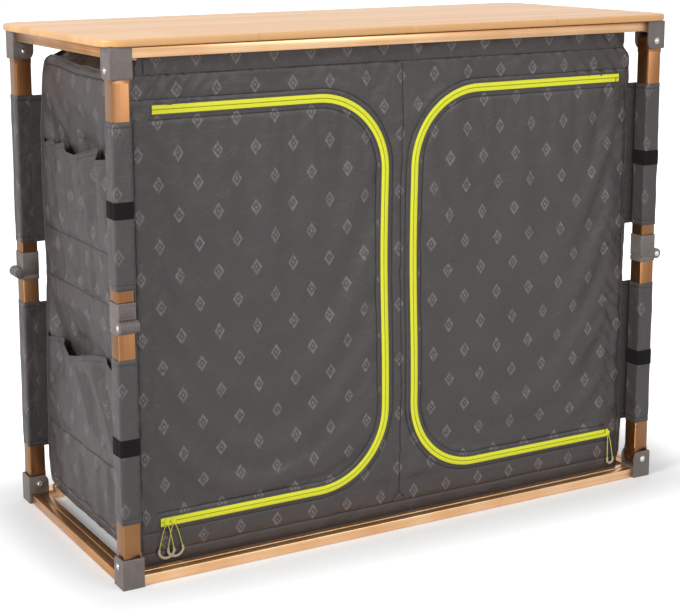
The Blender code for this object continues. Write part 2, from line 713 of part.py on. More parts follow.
def make_sliders(finish):
    slider = slider_mesh()
    places = {
        "zip_slider_left_1": LEFT_SLIDER - DOOR_OUTER,
        "zip_slider_left_2": LEFT_SLIDER + SLIDER_PITCH - DOOR_OUTER,
        "zip_slider_right": DOOR_OUTER - RIGHT_SLIDER,
    }
    for name, x in places.items():
        piece(name, slider, finish["zip"], (x, PANEL_FACE - SEAT_GAP, DOOR_BOTTOM))


def main():
    clear_scene()
    finish = make_finishes()
    x = (FRAME_WIDTH - BRACKET) / 2
    y = (FRAME_DEPTH - BRACKET) / 2
    top_pivot = pivot("top_frame_pivot", (-x, y, TOP_PIN_Z))
    make_frames(finish, top_pivot)
    make_legs(finish)
    make_top(finish, top_pivot)
    make_body(finish)
    make_sliders(finish)


main()
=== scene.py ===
# Looks of the folding camping cupboard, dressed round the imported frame.
# Metres, +Z up, front towards -Y. Left and right are as seen from the front.

import json
import math

import bmesh
import bpy
import numpy as np
from mathutils import Matrix, Vector, noise
from mathutils.geometry import delaunay_2d_cdt
from mathutils.kdtree import KDTree


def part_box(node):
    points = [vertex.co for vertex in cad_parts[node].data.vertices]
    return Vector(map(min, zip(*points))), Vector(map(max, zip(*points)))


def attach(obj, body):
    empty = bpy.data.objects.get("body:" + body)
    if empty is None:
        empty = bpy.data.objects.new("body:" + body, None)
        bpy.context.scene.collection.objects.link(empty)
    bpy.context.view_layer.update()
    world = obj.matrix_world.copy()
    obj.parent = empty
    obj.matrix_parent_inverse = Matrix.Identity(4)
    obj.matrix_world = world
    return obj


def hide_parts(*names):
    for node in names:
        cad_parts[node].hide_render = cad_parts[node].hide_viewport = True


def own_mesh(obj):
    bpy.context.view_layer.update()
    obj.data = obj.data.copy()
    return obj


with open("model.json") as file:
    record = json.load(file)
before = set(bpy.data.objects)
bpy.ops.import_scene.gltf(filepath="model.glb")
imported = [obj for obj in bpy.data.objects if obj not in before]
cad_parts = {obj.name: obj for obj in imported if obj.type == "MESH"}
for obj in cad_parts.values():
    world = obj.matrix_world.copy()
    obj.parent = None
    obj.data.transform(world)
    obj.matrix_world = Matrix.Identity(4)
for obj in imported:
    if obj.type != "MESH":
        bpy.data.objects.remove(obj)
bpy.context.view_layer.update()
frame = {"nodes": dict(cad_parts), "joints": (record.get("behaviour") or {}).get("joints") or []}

MM = 0.001
CORNERS = ("front_left", "back_left", "back_right", "front_right")
SIDES = {"left": -1, "right": 1}

# Where the fabric hangs, read from the frame
panel_low, panel_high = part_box("front_panel")
body_low, body_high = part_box("fabric_body")
door_low, door_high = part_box("door_left")
top_low, top_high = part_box("tabletop")
leg_low, leg_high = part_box("lower_leg_front_right")
LEG_X = (leg_low.x + leg_high.x) / 2  # the legs' axes, from the middle
LEG_Y = -(leg_low.y + leg_high.y) / 2
FACE = panel_low.y  # outer face of the front panel
HINGE = -door_low.x + 1.2 * MM  # hinge seam of each door, from the middle
POST = -door_high.x - 1.2 * MM  # zip line of each door, from the middle
DOOR_LOW = door_low.z - 1.2 * MM
DOOR_HIGH = door_high.z + 1.2 * MM
DOOR_ROUND = 120 * MM

# Levels for folding the fabric flat with the frame, which fold_flat does not use
FOLD_FLOOR = panel_low.z
FOLD_KEEP = 0.067

# Sewing
CLOTH = 0.8 * MM
SEAM_WIDTH = 1.5 * MM
SEAM_DEPTH = 0.9 * MM
STITCH_PITCH = 4.5 * MM
STITCH_LENGTH = 3.2 * MM
THREAD = 0.7 * MM
HEM = 8 * MM
PLACKET = 15 * MM  # stitch line beside a zip
TAPE = 7 * MM  # half of the zip's width

# Colours as they look in plain light, but for the painted light and painted shade noted beside them
# The copper tones below are one metal in lit and shaded copies: the lightest is painted light for the rails
# along x, the darker ones are painted shade and painted dark reflections for the side rails, battens and legs
COPPER = "#dfa873"
COPPER_PAINTED_LIT = "#f3cda4"
COPPER_PAINTED_DEEP_SHADE = "#8c5f40"
COPPER_PAINTED_SHADE = "#a1764f"
FITTING_GREY = "#665e5b"
FITTING_WORN = "#746b67"
CLOTH_GREY = "#3c3737"
CLOTH_LIGHT = "#484242"
PRINT_GREY = "#7f7878"
# painted shade for the sunk seams and hems
SEAM_PAINTED_SHADE = "#1d1a1b"
LIME = "#eef02e"
LIME_DEEP = "#cfd21e"
BAMBOO = "#e7b67c"
BAMBOO_DARK = "#d39a5e"
# the rim's darker orange is painted shade on the board's edge; the layers drawn on it are the board's own
BAMBOO_EDGE_PAINTED_SHADE = "#cf8038"
BAMBOO_EDGE_PAINTED_SHADE_DARK = "#9c5620"
BLACK = "#100e0d"


# Small tools


def add(tree, kind, settings=None, links=None):
    """A node with its settings, by property or input name, and what feeds it."""
    made = tree.nodes.new(kind)
    for key, value in (settings or {}).items():
        if isinstance(key, str) and hasattr(made, key):
            setattr(made, key, value)
        else:
            made.inputs[key].default_value = value
    for key, source in (links or {}).items():
        socket = source if isinstance(source, bpy.types.NodeSocket) else source.outputs[0]
        tree.links.new(socket, made.inputs[key])
    return made


def colour(code):
    """An sRGB hex colour as linear RGBA."""
    parts = [int(code[i : i + 2], 16) / 255 for i in (1, 3, 5)]
    return (*[c / 12.92 if c <= 0.04045 else ((c + 0.055) / 1.055) ** 2.4 for c in parts], 1.0)


def begin(name):
    made = bpy.data.materials.new(name)
    made.use_nodes = True
    tree = made.node_tree
    return made, tree, tree.nodes["Principled BSDF"]


def wave_scale(pitch):
    """Scale of a wave texture whose bands repeat at that pitch."""
    return math.pi / 10 / pitch


# Finishes


def anodised_aluminium(name, along, dark, light):
    """Copper-tone anodised aluminium, extruded: satin metal with fine die lines along its length."""
    made, tree, shader = begin(name)
    place = add(tree, "ShaderNodeTexCoord")
    # real die lines are about 0.2 mm apart, drawn at 1.1 mm so that they show
    across, lengthwise = 1 / (1.1 * MM), 1 / 0.6
    scale = [lengthwise if axis == along else across for axis in "xyz"]
    stretched = add(
        tree, "ShaderNodeMapping", {"Scale": scale}, {"Vector": place.outputs["Object"]}
    )
    lines = add(tree, "ShaderNodeTexNoise", {"Scale": 1.0, "Detail": 2.0}, {"Vector": stretched})
    cloud = add(
        tree, "ShaderNodeTexNoise", {"Scale": 9.0, "Detail": 2.0}, {"Vector": place.outputs["Object"]}
    )
    both = add(tree, "ShaderNodeMix", {0: 0.5}, {2: lines, 3: cloud})
    spread = add(tree, "ShaderNodeMapRange", {"From Min": 0.35, "From Max": 0.65}, {"Value": both})
    tint = add(
        tree,
        "ShaderNodeMix",
        {"data_type": "RGBA", 6: colour(dark), 7: colour(light)},
        {0: spread},
    )
    rough = add(tree, "ShaderNodeMapRange", {"To Min": 0.27, "To Max": 0.37}, {"Value": lines})
    bump = add(tree, "ShaderNodeBump", {"Strength": 0.35, "Distance": 0.08 * MM}, {"Height": lines})
    tree.links.new(tint.outputs[2], shader.inputs["Base Color"])
    tree.links.new(rough.outputs[0], shader.inputs["Roughness"])
    tree.links.new(bump.outputs[0], shader.inputs["Normal"])
    shader.inputs["Metallic"].default_value = 1.0
    return made


def moulded_nylon():
    """Glass-filled nylon, moulded: mid grey, fine spark-eroded grain and soft sheen."""
    made, tree, shader = begin("moulded_nylon")
    place = add(tree, "ShaderNodeTexCoord")
    # real grain is about 0.3 mm, drawn at 1 mm so that it shows
    grain = add(
        tree, "ShaderNodeTexNoise", {"Scale": 1 / (1.0 * MM), "Detail": 3.0},
        {"Vector": place.outputs["Object"]},
    )
    marks = add(
        tree, "ShaderNodeTexNoise", {"Scale": 60.0, "Detail": 4.0, "Distortion": 0.6},
        {"Vector": place.outputs["Object"]},
    )
    patches = add(tree, "ShaderNodeMapRange", {"From Min": 0.35, "From Max": 0.75}, {"Value": marks})
    tint = add(
        tree, "ShaderNodeMix",
        {"data_type": "RGBA", 6: colour(FITTING_GREY), 7: colour(FITTING_WORN)}, {0: patches},
    )
    rough = add(tree, "ShaderNodeMapRange", {"To Min": 0.4, "To Max": 0.58}, {"Value": grain})
    bump = add(tree, "ShaderNodeBump", {"Strength": 0.3, "Distance": 0.15 * MM}, {"Height": grain})
    tree.links.new(tint.outputs[2], shader.inputs["Base Color"])
    tree.links.new(rough.outputs[0], shader.inputs["Roughness"])
    tree.links.new(bump.outputs[0], shader.inputs["Normal"])
    return made


def nickel_plated_steel():
    """Nickel-plated steel, cold headed: bright, a little brushed by tumbling."""
    made, tree, shader = begin("nickel_plated_steel")
    place = add(tree, "ShaderNodeTexCoord")
    tumbled = add(
        tree, "ShaderNodeTexNoise", {"Scale": 1 / (0.8 * MM), "Detail": 3.0},
        {"Vector": place.outputs["Object"]},
    )
    rough = add(tree, "ShaderNodeMapRange", {"To Min": 0.16, "To Max": 0.32}, {"Value": tumbled})
    bump = add(tree, "ShaderNodeBump", {"Strength": 0.2, "Distance": 0.05 * MM}, {"Height": tumbled})
    tree.links.new(rough.outputs[0], shader.inputs["Roughness"])
    tree.links.new(bump.outputs[0], shader.inputs["Normal"])
    shader.inputs["Base Color"].default_value = colour("#d9d4cc")
    shader.inputs["Metallic"].default_value = 1.0
    return made


def bamboo(name, light, dark, layered):
    """Laminated bamboo board, lacquered: staves 20 mm wide on the face, three layers at the edge,
    faint fibre and darker node bars."""
    made, tree, shader = begin(name)
    place = add(tree, "ShaderNodeTexCoord")
    stave, bar, layer = 20 * MM, 0.27, 3.9 * MM
    turn = (math.pi / 2, 0.0, 0.0) if layered else (0.0, 0.0, 0.0)
    scale = (1 / bar, 1.0, 1 / layer) if layered else (1 / bar, 1 / stave, 1.0)
    rows = add(
        tree, "ShaderNodeMapping", {"Scale": scale, "Rotation": turn, "Location": (0.0, 0.62, 0.0)},
        {"Vector": place.outputs["Object"]},
    )
    bricks = add(
        tree, "ShaderNodeTexBrick",
        {
            "offset": 0.37, "offset_frequency": 2, "Scale": 1.0, "Brick Width": 4.0, "Row Height": 1.0,
            "Mortar Size": 0.012, "Mortar Smooth": 0.6, "Bias": 0.0,
            "Color1": (0.2, 0.2, 0.2, 1.0), "Color2": (0.8, 0.8, 0.8, 1.0), "Mortar": (0.0, 0.0, 0.0, 1.0),
        },
        {"Vector": rows},
    )
    nodes = add(
        tree, "ShaderNodeTexBrick",
        {
            "offset": 0.41, "offset_frequency": 3, "Scale": 1.0, "Brick Width": 1.0, "Row Height": 1.0,
            "Mortar Size": 0.006, "Mortar Smooth": 0.2,
            "Color1": (0.0, 0.0, 0.0, 1.0), "Color2": (0.0, 0.0, 0.0, 1.0), "Mortar": (1.0, 1.0, 1.0, 1.0),
        },
        {"Vector": rows},
    )
    fibres = add(
        tree, "ShaderNodeMapping", {"Scale": (6.0, 420.0, 420.0)}, {"Vector": place.outputs["Object"]}
    )
    fibre = add(tree, "ShaderNodeTexNoise", {"Scale": 1.0, "Detail": 4.0}, {"Vector": fibres})
    tone = add(tree, "ShaderNodeMix", {0: 0.45}, {2: bricks.outputs["Color"], 3: fibre})
    spread = add(tree, "ShaderNodeMapRange", {"From Min": 0.25, "From Max": 0.75}, {"Value": tone})
    plain = add(
        tree, "ShaderNodeMix", {"data_type": "RGBA", 6: colour(light), 7: colour(dark)}, {0: spread}
    )
    faint = add(tree, "ShaderNodeMapRange", {"To Max": 0.22}, {"Value": nodes.outputs["Color"]})
    tint = add(
        tree, "ShaderNodeMix", {"data_type": "RGBA", 7: colour("#a8713d")},
        {0: faint, 6: plain.outputs[2]},
    )
    rough = add(tree, "ShaderNodeMapRange", {"To Min": 0.3, "To Max": 0.42}, {"Value": fibre})
    bump = add(tree, "ShaderNodeBump", {"Strength": 0.15, "Distance": 0.08 * MM}, {"Height": fibre})
    tree.links.new(tint.outputs[2], shader.inputs["Base Color"])
    tree.links.new(rough.outputs[0], shader.inputs["Roughness"])
    tree.links.new(bump.outputs[0], shader.inputs["Normal"])
    shader.inputs["Coat Weight"].default_value = 0.15
    shader.inputs["Coat Roughness"].default_value = 0.22
    return made


def polyester(name, base, light, printed, creased):
    """Coated polyester, plain woven: dark grey with a soft sheen, a tone-on-tone print and creases
    from packing."""
    made, tree, shader = begin(name)
    place = add(tree, "ShaderNodeUVMap", {"uv_map": "cloth"})
    # real threads are 0.4 mm apart, drawn at 1.8 mm so that they show
    weave = wave_scale(1.8 * MM)
    warp = add(tree, "ShaderNodeTexWave", {"bands_direction": "X", "Scale": weave}, {"Vector": place})
    weft = add(tree, "ShaderNodeTexWave", {"bands_direction": "Y", "Scale": weave}, {"Vector": place})
    threads = add(tree, "ShaderNodeMix", {"data_type": "RGBA", "blend_type": "MULTIPLY", 0: 1.0})
    tree.links.new(warp.outputs["Color"], threads.inputs[6])
    tree.links.new(weft.outputs["Color"], threads.inputs[7])
    stretched = add(tree, "ShaderNodeMapping", {"Scale": (90.0, 420.0, 1.0)}, {"Vector": place})
    slub = add(tree, "ShaderNodeTexNoise", {"Scale": 1.0, "Detail": 3.0}, {"Vector": stretched})
    cloud = add(
        tree, "ShaderNodeTexNoise", {"Scale": 11.0, "Detail": 4.0, "Roughness": 0.6}, {"Vector": place}
    )
    mixed = add(tree, "ShaderNodeMix", {0: 0.55}, {2: slub, 3: cloud})
    tone = add(tree, "ShaderNodeMapRange", {"From Min": 0.3, "From Max": 0.7}, {"Value": mixed})
    cloth = add(
        tree, "ShaderNodeMix", {"data_type": "RGBA", 6: colour(base), 7: colour(light)}, {0: tone}
    )
    # small lozenges in a half-drop repeat, 64 mm apart
    pitch, squat = 64 * MM / math.sqrt(2), 0.7
    turned = add(
        tree, "ShaderNodeMapping", {"Scale": (1.0, squat, 1.0), "Rotation": (0.0, 0.0, math.pi / 4)},
        {"Vector": place},
    )
    lozenge = add(
        tree, "ShaderNodeTexVoronoi",
        {"voronoi_dimensions": "2D", "distance": "CHEBYCHEV", "Scale": 1 / pitch, "Randomness": 0.0},
        {"Vector": turned},
    )
    away = lozenge.outputs["Distance"]
    dot = add(
        tree, "ShaderNodeMapRange", {"From Min": 0.03, "From Max": 0.045, "To Min": 1.0, "To Max": 0.0},
        {"Value": away},
    )
    within = add(
        tree, "ShaderNodeMapRange", {"From Min": 0.135, "From Max": 0.15, "To Min": 1.0, "To Max": 0.0},
        {"Value": away},
    )
    beyond = add(tree, "ShaderNodeMapRange", {"From Min": 0.07, "From Max": 0.08}, {"Value": away})
    ring = add(tree, "ShaderNodeMath", {"operation": "MULTIPLY_ADD"}, {0: within, 1: beyond, 2: dot})
    worn = add(tree, "ShaderNodeTexNoise", {"Scale": 160.0, "Detail": 3.0}, {"Vector": place})
    ink = add(
        tree, "ShaderNodeMapRange",
        {"From Min": 0.35, "From Max": 0.65, "To Min": 0.25 * printed, "To Max": printed}, {"Value": worn},
    )
    amount = add(tree, "ShaderNodeMath", {"operation": "MULTIPLY"}, {0: ring, 1: ink})
    inked = add(
        tree, "ShaderNodeMix", {"data_type": "RGBA", 7: colour(PRINT_GREY)},
        {0: amount, 6: cloth.outputs[2]},
    )
    # seams and hems darken towards near black: painted shade in their sunk grooves
    sewn = add(tree, "ShaderNodeAttribute", {"attribute_name": "seam"})
    dark = add(tree, "ShaderNodeMapRange", {"To Max": 0.85}, {"Value": sewn.outputs["Fac"]})
    tint = add(
        tree, "ShaderNodeMix", {"data_type": "RGBA", 7: colour(SEAM_PAINTED_SHADE)},
        {0: dark, 6: inked.outputs[2]},
    )
    crumple = add(
        tree, "ShaderNodeTexNoise", {"Scale": 38.0, "Detail": 5.0, "Roughness": 0.62, "Distortion": 0.8},
        {"Vector": place},
    )
    fine = add(
        tree, "ShaderNodeBump", {"Strength": 0.22, "Distance": 0.25 * MM}, {"Height": threads.outputs[2]}
    )
    soft = add(
        tree, "ShaderNodeBump", {"Strength": 0.85, "Distance": 2.6 * MM}, {"Height": crumple, "Normal": fine}
    )
    ridges = add(
        tree, "ShaderNodeTexNoise",
        {
            "noise_type": "RIDGED_MULTIFRACTAL", "Scale": 13.0, "Detail": 2.0, "Roughness": 0.45,
            "Distortion": 0.6,
        },
        {"Vector": place},
    )
    packed = add(
        tree, "ShaderNodeBump", {"Strength": 1.0, "Distance": 2.4 * MM * creased},
        {"Height": ridges, "Normal": soft},
    )
    rough = add(tree, "ShaderNodeMapRange", {"To Min": 0.36, "To Max": 0.5}, {"Value": slub})
    tree.links.new(tint.outputs[2], shader.inputs["Base Color"])
    tree.links.new(rough.outputs[0], shader.inputs["Roughness"])
    tree.links.new(packed.outputs[0], shader.inputs["Normal"])
    shader.inputs["Sheen Weight"].default_value = 0.06
    shader.inputs["Sheen Roughness"].default_value = 0.4
    return made


def webbing():
    """Black hook-and-loop webbing: matt pile with cross ribs."""
    made, tree, shader = begin("hook_and_loop_webbing")
    place = add(tree, "ShaderNodeTexCoord")
    pile = add(
        tree, "ShaderNodeTexNoise", {"Scale": 1 / (0.9 * MM), "Detail": 3.0},
        {"Vector": place.outputs["Object"]},
    )
    tint = add(
        tree, "ShaderNodeMix", {"data_type": "RGBA", 6: colour(BLACK), 7: colour("#1b1817")}, {0: pile}
    )
    bump = add(tree, "ShaderNodeBump", {"Strength": 0.6, "Distance": 0.3 * MM}, {"Height": pile})
    tree.links.new(tint.outputs[2], shader.inputs["Base Color"])
    tree.links.new(bump.outputs[0], shader.inputs["Normal"])
    shader.inputs["Roughness"].default_value = 0.9
    shader.inputs["Specular IOR Level"].default_value = 0.2
    return made


def lime_nylon(name, code, weave):
    """Lime zip: woven polyester tape, or smoother nylon coil at a small weave."""
    made, tree, shader = begin(name)
    place = add(tree, "ShaderNodeTexCoord")
    fibres = add(
        tree, "ShaderNodeTexNoise", {"Scale": 1 / (0.9 * MM), "Detail": 3.0},
        {"Vector": place.outputs["Object"]},
    )
    tint = add(
        tree, "ShaderNodeMix", {"data_type": "RGBA", 6: colour(code), 7: colour(LIME_DEEP)}
    )
    faint = add(tree, "ShaderNodeMapRange", {"To Max": 0.35}, {"Value": fibres})
    tree.links.new(faint.outputs[0], tint.inputs[0])
    bump = add(tree, "ShaderNodeBump", {"Strength": 0.4 * weave, "Distance": 0.2 * MM}, {"Height": fibres})
    tree.links.new(tint.outputs[2], shader.inputs["Base Color"])
    tree.links.new(bump.outputs[0], shader.inputs["Normal"])
    shader.inputs["Roughness"].default_value = 0.5
    return made


def plain_plastic(name, code, roughness, grain):
    """Small soft plastic or cord: even colour broken by a fine grain of its own size."""
    made, tree, shader = begin(name)
    place = add(tree, "ShaderNodeTexCoord")
    speck = add(
        tree, "ShaderNodeTexNoise", {"Scale": 1 / grain, "Detail": 3.0}, {"Vector": place.outputs["Object"]}
    )
    darker = tuple(c * 0.72 for c in colour(code)[:3]) + (1.0,)
    tint = add(tree, "ShaderNodeMix", {"data_type": "RGBA", 6: colour(code), 7: darker}, {0: speck})
    bump = add(tree, "ShaderNodeBump", {"Strength": 0.3, "Distance": grain / 8}, {"Height": speck})
    tree.links.new(tint.outputs[2], shader.inputs["Base Color"])
    tree.links.new(bump.outputs[0], shader.inputs["Normal"])
    shader.inputs["Roughness"].default_value = roughness
    return made


FINISH = {
    # one metal in three tones by direction: the rails along x painted lit, the side rails and battens painted
    # in shade, the legs painted in deeper shade
    "tube_x_painted_lit": anodised_aluminium("anodised_aluminium_x_painted_lit", "x", COPPER, COPPER_PAINTED_LIT),
    "tube_y_painted_shade": anodised_aluminium("anodised_aluminium_y_painted_shade", "y", COPPER_PAINTED_SHADE, COPPER),
    "tube_z_painted_deep_shade": anodised_aluminium("anodised_aluminium_z_painted_deep_shade", "z", COPPER_PAINTED_DEEP_SHADE, COPPER_PAINTED_SHADE),
    "nylon": moulded_nylon(),
    "steel": nickel_plated_steel(),
    "bamboo": bamboo("lacquered_bamboo_face", BAMBOO, BAMBOO_DARK, False),
    # the rim is painted darker as shade on the board's edge
    "bamboo_edge": bamboo("lacquered_bamboo_edge", BAMBOO_EDGE_PAINTED_SHADE, BAMBOO_EDGE_PAINTED_SHADE_DARK, True),
    "cloth": polyester("printed_polyester", CLOTH_GREY, CLOTH_LIGHT, 0.85, 0.5),
    "side_cloth": polyester("creased_polyester", CLOTH_GREY, CLOTH_LIGHT, 0.55, 3.2),
    "plain_cloth": polyester("plain_polyester", CLOTH_GREY, CLOTH_LIGHT, 0.0, 0.6),
    "webbing": webbing(),
    "tape": lime_nylon("zip_tape", LIME, 1.0),
    "coil": lime_nylon("zip_coil", "#aeb414", 0.3),
    "cord": plain_plastic("braided_cord", "#dfe056", 0.6, 0.9 * MM),
    "tube": plain_plastic("soft_vinyl_tube", "#cdc2ae", 0.38, 2.0 * MM),
    "thread": plain_plastic("sewing_thread", "#353132", 0.7, 0.6 * MM),
    # dark brown painted shade of the crimped marks on the legs
    "crimp": plain_plastic("crimp_shadow", "#5d3a22", 0.5, 1.0 * MM),
}


# Meshes


def linked(name, mesh, *finishes):
    mesh.materials.clear()
    for finish in finishes:
        mesh.materials.append(FINISH[finish])
    thing = bpy.data.objects.new(name, mesh)
    bpy.context.scene.collection.objects.link(thing)
    return thing


def applied(thing):
    """The object's evaluated mesh, with its modifiers made real, on a new object of its name."""
    graph = bpy.context.evaluated_depsgraph_get()
    mesh = bpy.data.meshes.new_from_object(thing.evaluated_get(graph))
    name = thing.name
    bpy.data.objects.remove(thing, do_unlink=True)
    made = bpy.data.objects.new(name, mesh)
    bpy.context.scene.collection.objects.link(made)
    return made


def smooth(thing, angle=40):
    thing.data.shade_smooth()
    thing.data.set_sharp_from_angle(angle=math.radians(angle))
    return thing


def arc(centre, radius, start, end, steps):
    turns = np.linspace(math.radians(start), math.radians(end), steps + 1)
    return [(centre[0] + radius * math.cos(t), centre[1] + radius * math.sin(t)) for t in turns]


def spaced(points, step):
    """The line through the points, with a point at least every step."""
    line = [points[0]]
    for first, second in zip(points, points[1:]):
        count = max(1, math.ceil(math.dist(first, second) / step))
        for i in range(1, count + 1):
            line.append(tuple(a + (b - a) * i / count for a, b in zip(first, second)))
    return line


def ripple(u, v, size, seed):
    """Smooth random height, about -1 to 1, with bumps of that size."""
    return np.array([noise.noise(Vector((a / size, b / size, seed))) for a, b in zip(u, v)])


def inside(points, outline):
    """Which points lie inside a closed outline."""
    x, y = points[:, 0], points[:, 1]
    hits = np.zeros(len(points), int)
    for (ax, ay), (bx, by) in zip(outline, outline[1:] + outline[:1]):
        if ay != by:
            crosses = (ay > y) != (by > y)
            hits += crosses & (x < (bx - ax) * (y - ay) / (by - ay) + ax)
    return hits % 2 == 1


def beside(line, offset):
    """The line moved sideways; positive is to the left of its direction."""
    flat = np.array(line)
    along = np.gradient(flat, axis=0)
    along /= np.linalg.norm(along, axis=1)[:, None]
    return [tuple(p) for p in flat + offset * np.stack([-along[:, 1], along[:, 0]], 1)]


def patch(outline, holes, seams, step):
    """Flat triangles over an outline with holes, with three rows of points along each seam.
    Gives points, triangles and how deep each point lies in a seam."""
    loops = [spaced(loop + loop[:1], step)[:-1] for loop in [outline, *holes]]
    points, edges, depth = [], [], []
    for loop in loops:
        first = len(points)
        points += loop
        depth += [0.0] * len(loop)
        edges += [(first + i, first + (i + 1) % len(loop)) for i in range(len(loop))]
    for seam in seams:
        line = spaced(seam, step)
        for offset, deep in ((-SEAM_WIDTH, 0.0), (0.0, 1.0), (SEAM_WIDTH, 0.0)):
            first = len(points)
            points += beside(line, offset) if offset else line
            depth += [deep] * len(line)
            edges += [(first + i, first + i + 1) for i in range(len(line) - 1)]
    near = KDTree(len(points))
    for i, p in enumerate(points):
        near.insert((*p, 0.0), i)
    near.balance()
    low = np.min(outline, axis=0)
    high = np.max(outline, axis=0)
    rows = np.arange(low[1], high[1], step * math.sqrt(3) / 2)
    spots = [
        (x + (row % 2) * step / 2, y)
        for row, y in enumerate(rows)
        for x in np.arange(low[0], high[0], step)
    ]
    for x, y in spots:
        if near.find((x, y, 0.0))[2] > 0.62 * step:
            points.append((x, y))
            depth.append(0.0)
    result = delaunay_2d_cdt([Vector(p) for p in points], edges, [], 0, 1e-7)
    verts, _, faces, sources = result[:4]
    flat = np.array([tuple(v) for v in verts])
    deep = np.array([max([depth[i] for i in source], default=0.0) for source in sources])
    triangles = np.array([f for f in faces if len(f) == 3])
    middle = flat[triangles].mean(axis=1)
    keep = inside(middle, loops[0])
    for loop in loops[1:]:
        keep &= ~inside(middle, loop)
    triangles = triangles[keep]
    used = np.unique(triangles)
    index = np.full(len(flat), -1)
    index[used] = np.arange(len(used))
    return flat[used], index[triangles], deep[used]


def cloth_piece(name, flat, triangles, deep, places, finish="cloth", thickness=CLOTH, uv=None):
    """A sheet of cloth through the placed points, with its flat cut as its UV map."""
    mesh = bpy.data.meshes.new(name)
    mesh.from_pydata([tuple(p) for p in places], [], [tuple(int(i) for i in t) for t in triangles])
    layer = mesh.uv_layers.new(name="cloth")
    corner = np.zeros(len(mesh.loops), np.int32)
    mesh.loops.foreach_get("vertex_index", corner)
    cut = flat if uv is None else uv
    layer.data.foreach_set("uv", cut[corner].astype(np.float32).ravel())
    # the seam depth also darkens the cloth there, as painted shade
    sewn = mesh.attributes.new("seam", "FLOAT", "POINT")
    sewn.data.foreach_set("value", deep.astype(np.float32))
    thing = linked(name, mesh, finish)
    mesh.shade_smooth()
    wall = thing.modifiers.new("thickness", "SOLIDIFY")
    wall.thickness = thickness
    wall.offset = -1.0
    return smooth(applied(thing), 55)


# Draping: coarse grids of cloth, a little too large for their pinned edges, settle under gravity


def drape_grid(name, low, high, step, surface, pinned, slack, bend=2.0):
    """A pinned grid of cloth over a surface; slack is how much larger the cloth is cut."""
    columns = max(2, round((high[0] - low[0]) / step))
    rows = max(2, round((high[1] - low[1]) / step))
    u, v = np.meshgrid(np.linspace(low[0], high[0], columns + 1), np.linspace(low[1], high[1], rows + 1))
    places = surface(u.ravel(), v.ravel())
    start = ripple(u.ravel(), v.ravel(), 60 * MM, len(name) + 0.5)
    fixed = pinned(u.ravel(), v.ravel())
    lifted = places + (start * 1.2 * MM * ~fixed)[:, None] * np.array([0.6, 0.6, 0.0])
    wide = columns + 1
    starts = [r * wide + c for r in range(rows) for c in range(columns)]
    faces = [(i, i + 1, i + wide + 1, i + wide) for i in starts]
    mesh = bpy.data.meshes.new(name)
    mesh.from_pydata([tuple(p) for p in lifted], [], faces)
    thing = bpy.data.objects.new(name, mesh)
    bpy.context.scene.collection.objects.link(thing)
    group = thing.vertex_groups.new(name="pins")
    group.add([int(i) for i in np.flatnonzero(fixed)], 1.0, "REPLACE")
    cloth = thing.modifiers.new("cloth", "CLOTH").settings
    cloth.vertex_group_mass = "pins"
    cloth.quality = 5
    cloth.mass = 0.25
    cloth.air_damping = 3.0
    cloth.tension_stiffness = 25.0
    cloth.compression_stiffness = 25.0
    cloth.shear_stiffness = 8.0
    cloth.bending_stiffness = bend
    cloth.shrink_min = -slack
    return {"object": thing, "rest": places, "shape": (rows + 1, columns + 1), "low": low, "high": high}


def settle(grids, frames):
    scene = bpy.context.scene
    for number in range(1, frames + 1):
        scene.frame_set(number)
    graph = bpy.context.evaluated_depsgraph_get()
    for grid in grids:
        moved = grid["object"].evaluated_get(graph)
        points = np.array([v.co for v in moved.data.vertices])
        grid["offset"] = (points - grid["rest"]).reshape(*grid["shape"], 3)
    scene.frame_set(1)
    for grid in grids:
        bpy.data.objects.remove(grid.pop("object"), do_unlink=True)


def draped(grid, u, v, limit):
    """How far the settled cloth lies from its flat place, by smooth interpolation of its grid."""
    if grid is None or "offset" not in grid:
        return np.zeros((len(u), 3))
    rows, columns = grid["shape"]
    field = np.pad(np.clip(grid["offset"], -limit, limit), ((1, 2), (1, 2), (0, 0)), mode="edge")
    s = np.clip((u - grid["low"][0]) / (grid["high"][0] - grid["low"][0]), 0, 1) * (columns - 1)
    t = np.clip((v - grid["low"][1]) / (grid["high"][1] - grid["low"][1]), 0, 1) * (rows - 1)
    i, j = np.floor(s).astype(int), np.floor(t).astype(int)

    def weights(f):
        return [(-f + 2 * f**2 - f**3) / 2, (2 - 5 * f**2 + 3 * f**3) / 2,
                (f + 4 * f**2 - 3 * f**3) / 2, (-(f**2) + f**3) / 2]

    across, up = weights(s - i), weights(t - j)
    shares = [(a, b, up[b][:, None] * across[a][:, None]) for a in range(4) for b in range(4)]
    return sum(share * field[j + b, i + a] for a, b, share in shares)


# The door openings


def door_line(side, offset=0.0, steps=24):
    """The zip line of a door from its upper end to its lower end, moved outwards by offset."""
    radius = DOOR_ROUND + offset
    high, low, inner = DOOR_HIGH + offset, DOOR_LOW - offset, POST - offset
    line = [(HINGE, high)]
    line += arc((inner + radius, high - radius), radius, 90, 180, steps)
    line += arc((inner + radius, low + radius), radius, 180, 270, steps)
    line.append((HINGE, low))
    return [(side * x, z) for x, z in line]


def front_surface(u, v):
    return np.stack([u, np.full(len(u), FACE), v], 1)


def near_zip(u, v, reach):
    """Which points lie within reach of a zip or a hinge seam."""
    near = np.zeros(len(u), bool)
    points = np.stack([u, v], 1)
    for side in (-1, 1):
        outer = inside(points, door_line(side, reach, 12))
        inner = inside(points, door_line(side, -reach, 12))
        near |= outer & ~inner
    return near | (np.abs(np.abs(u) - HINGE) < reach)


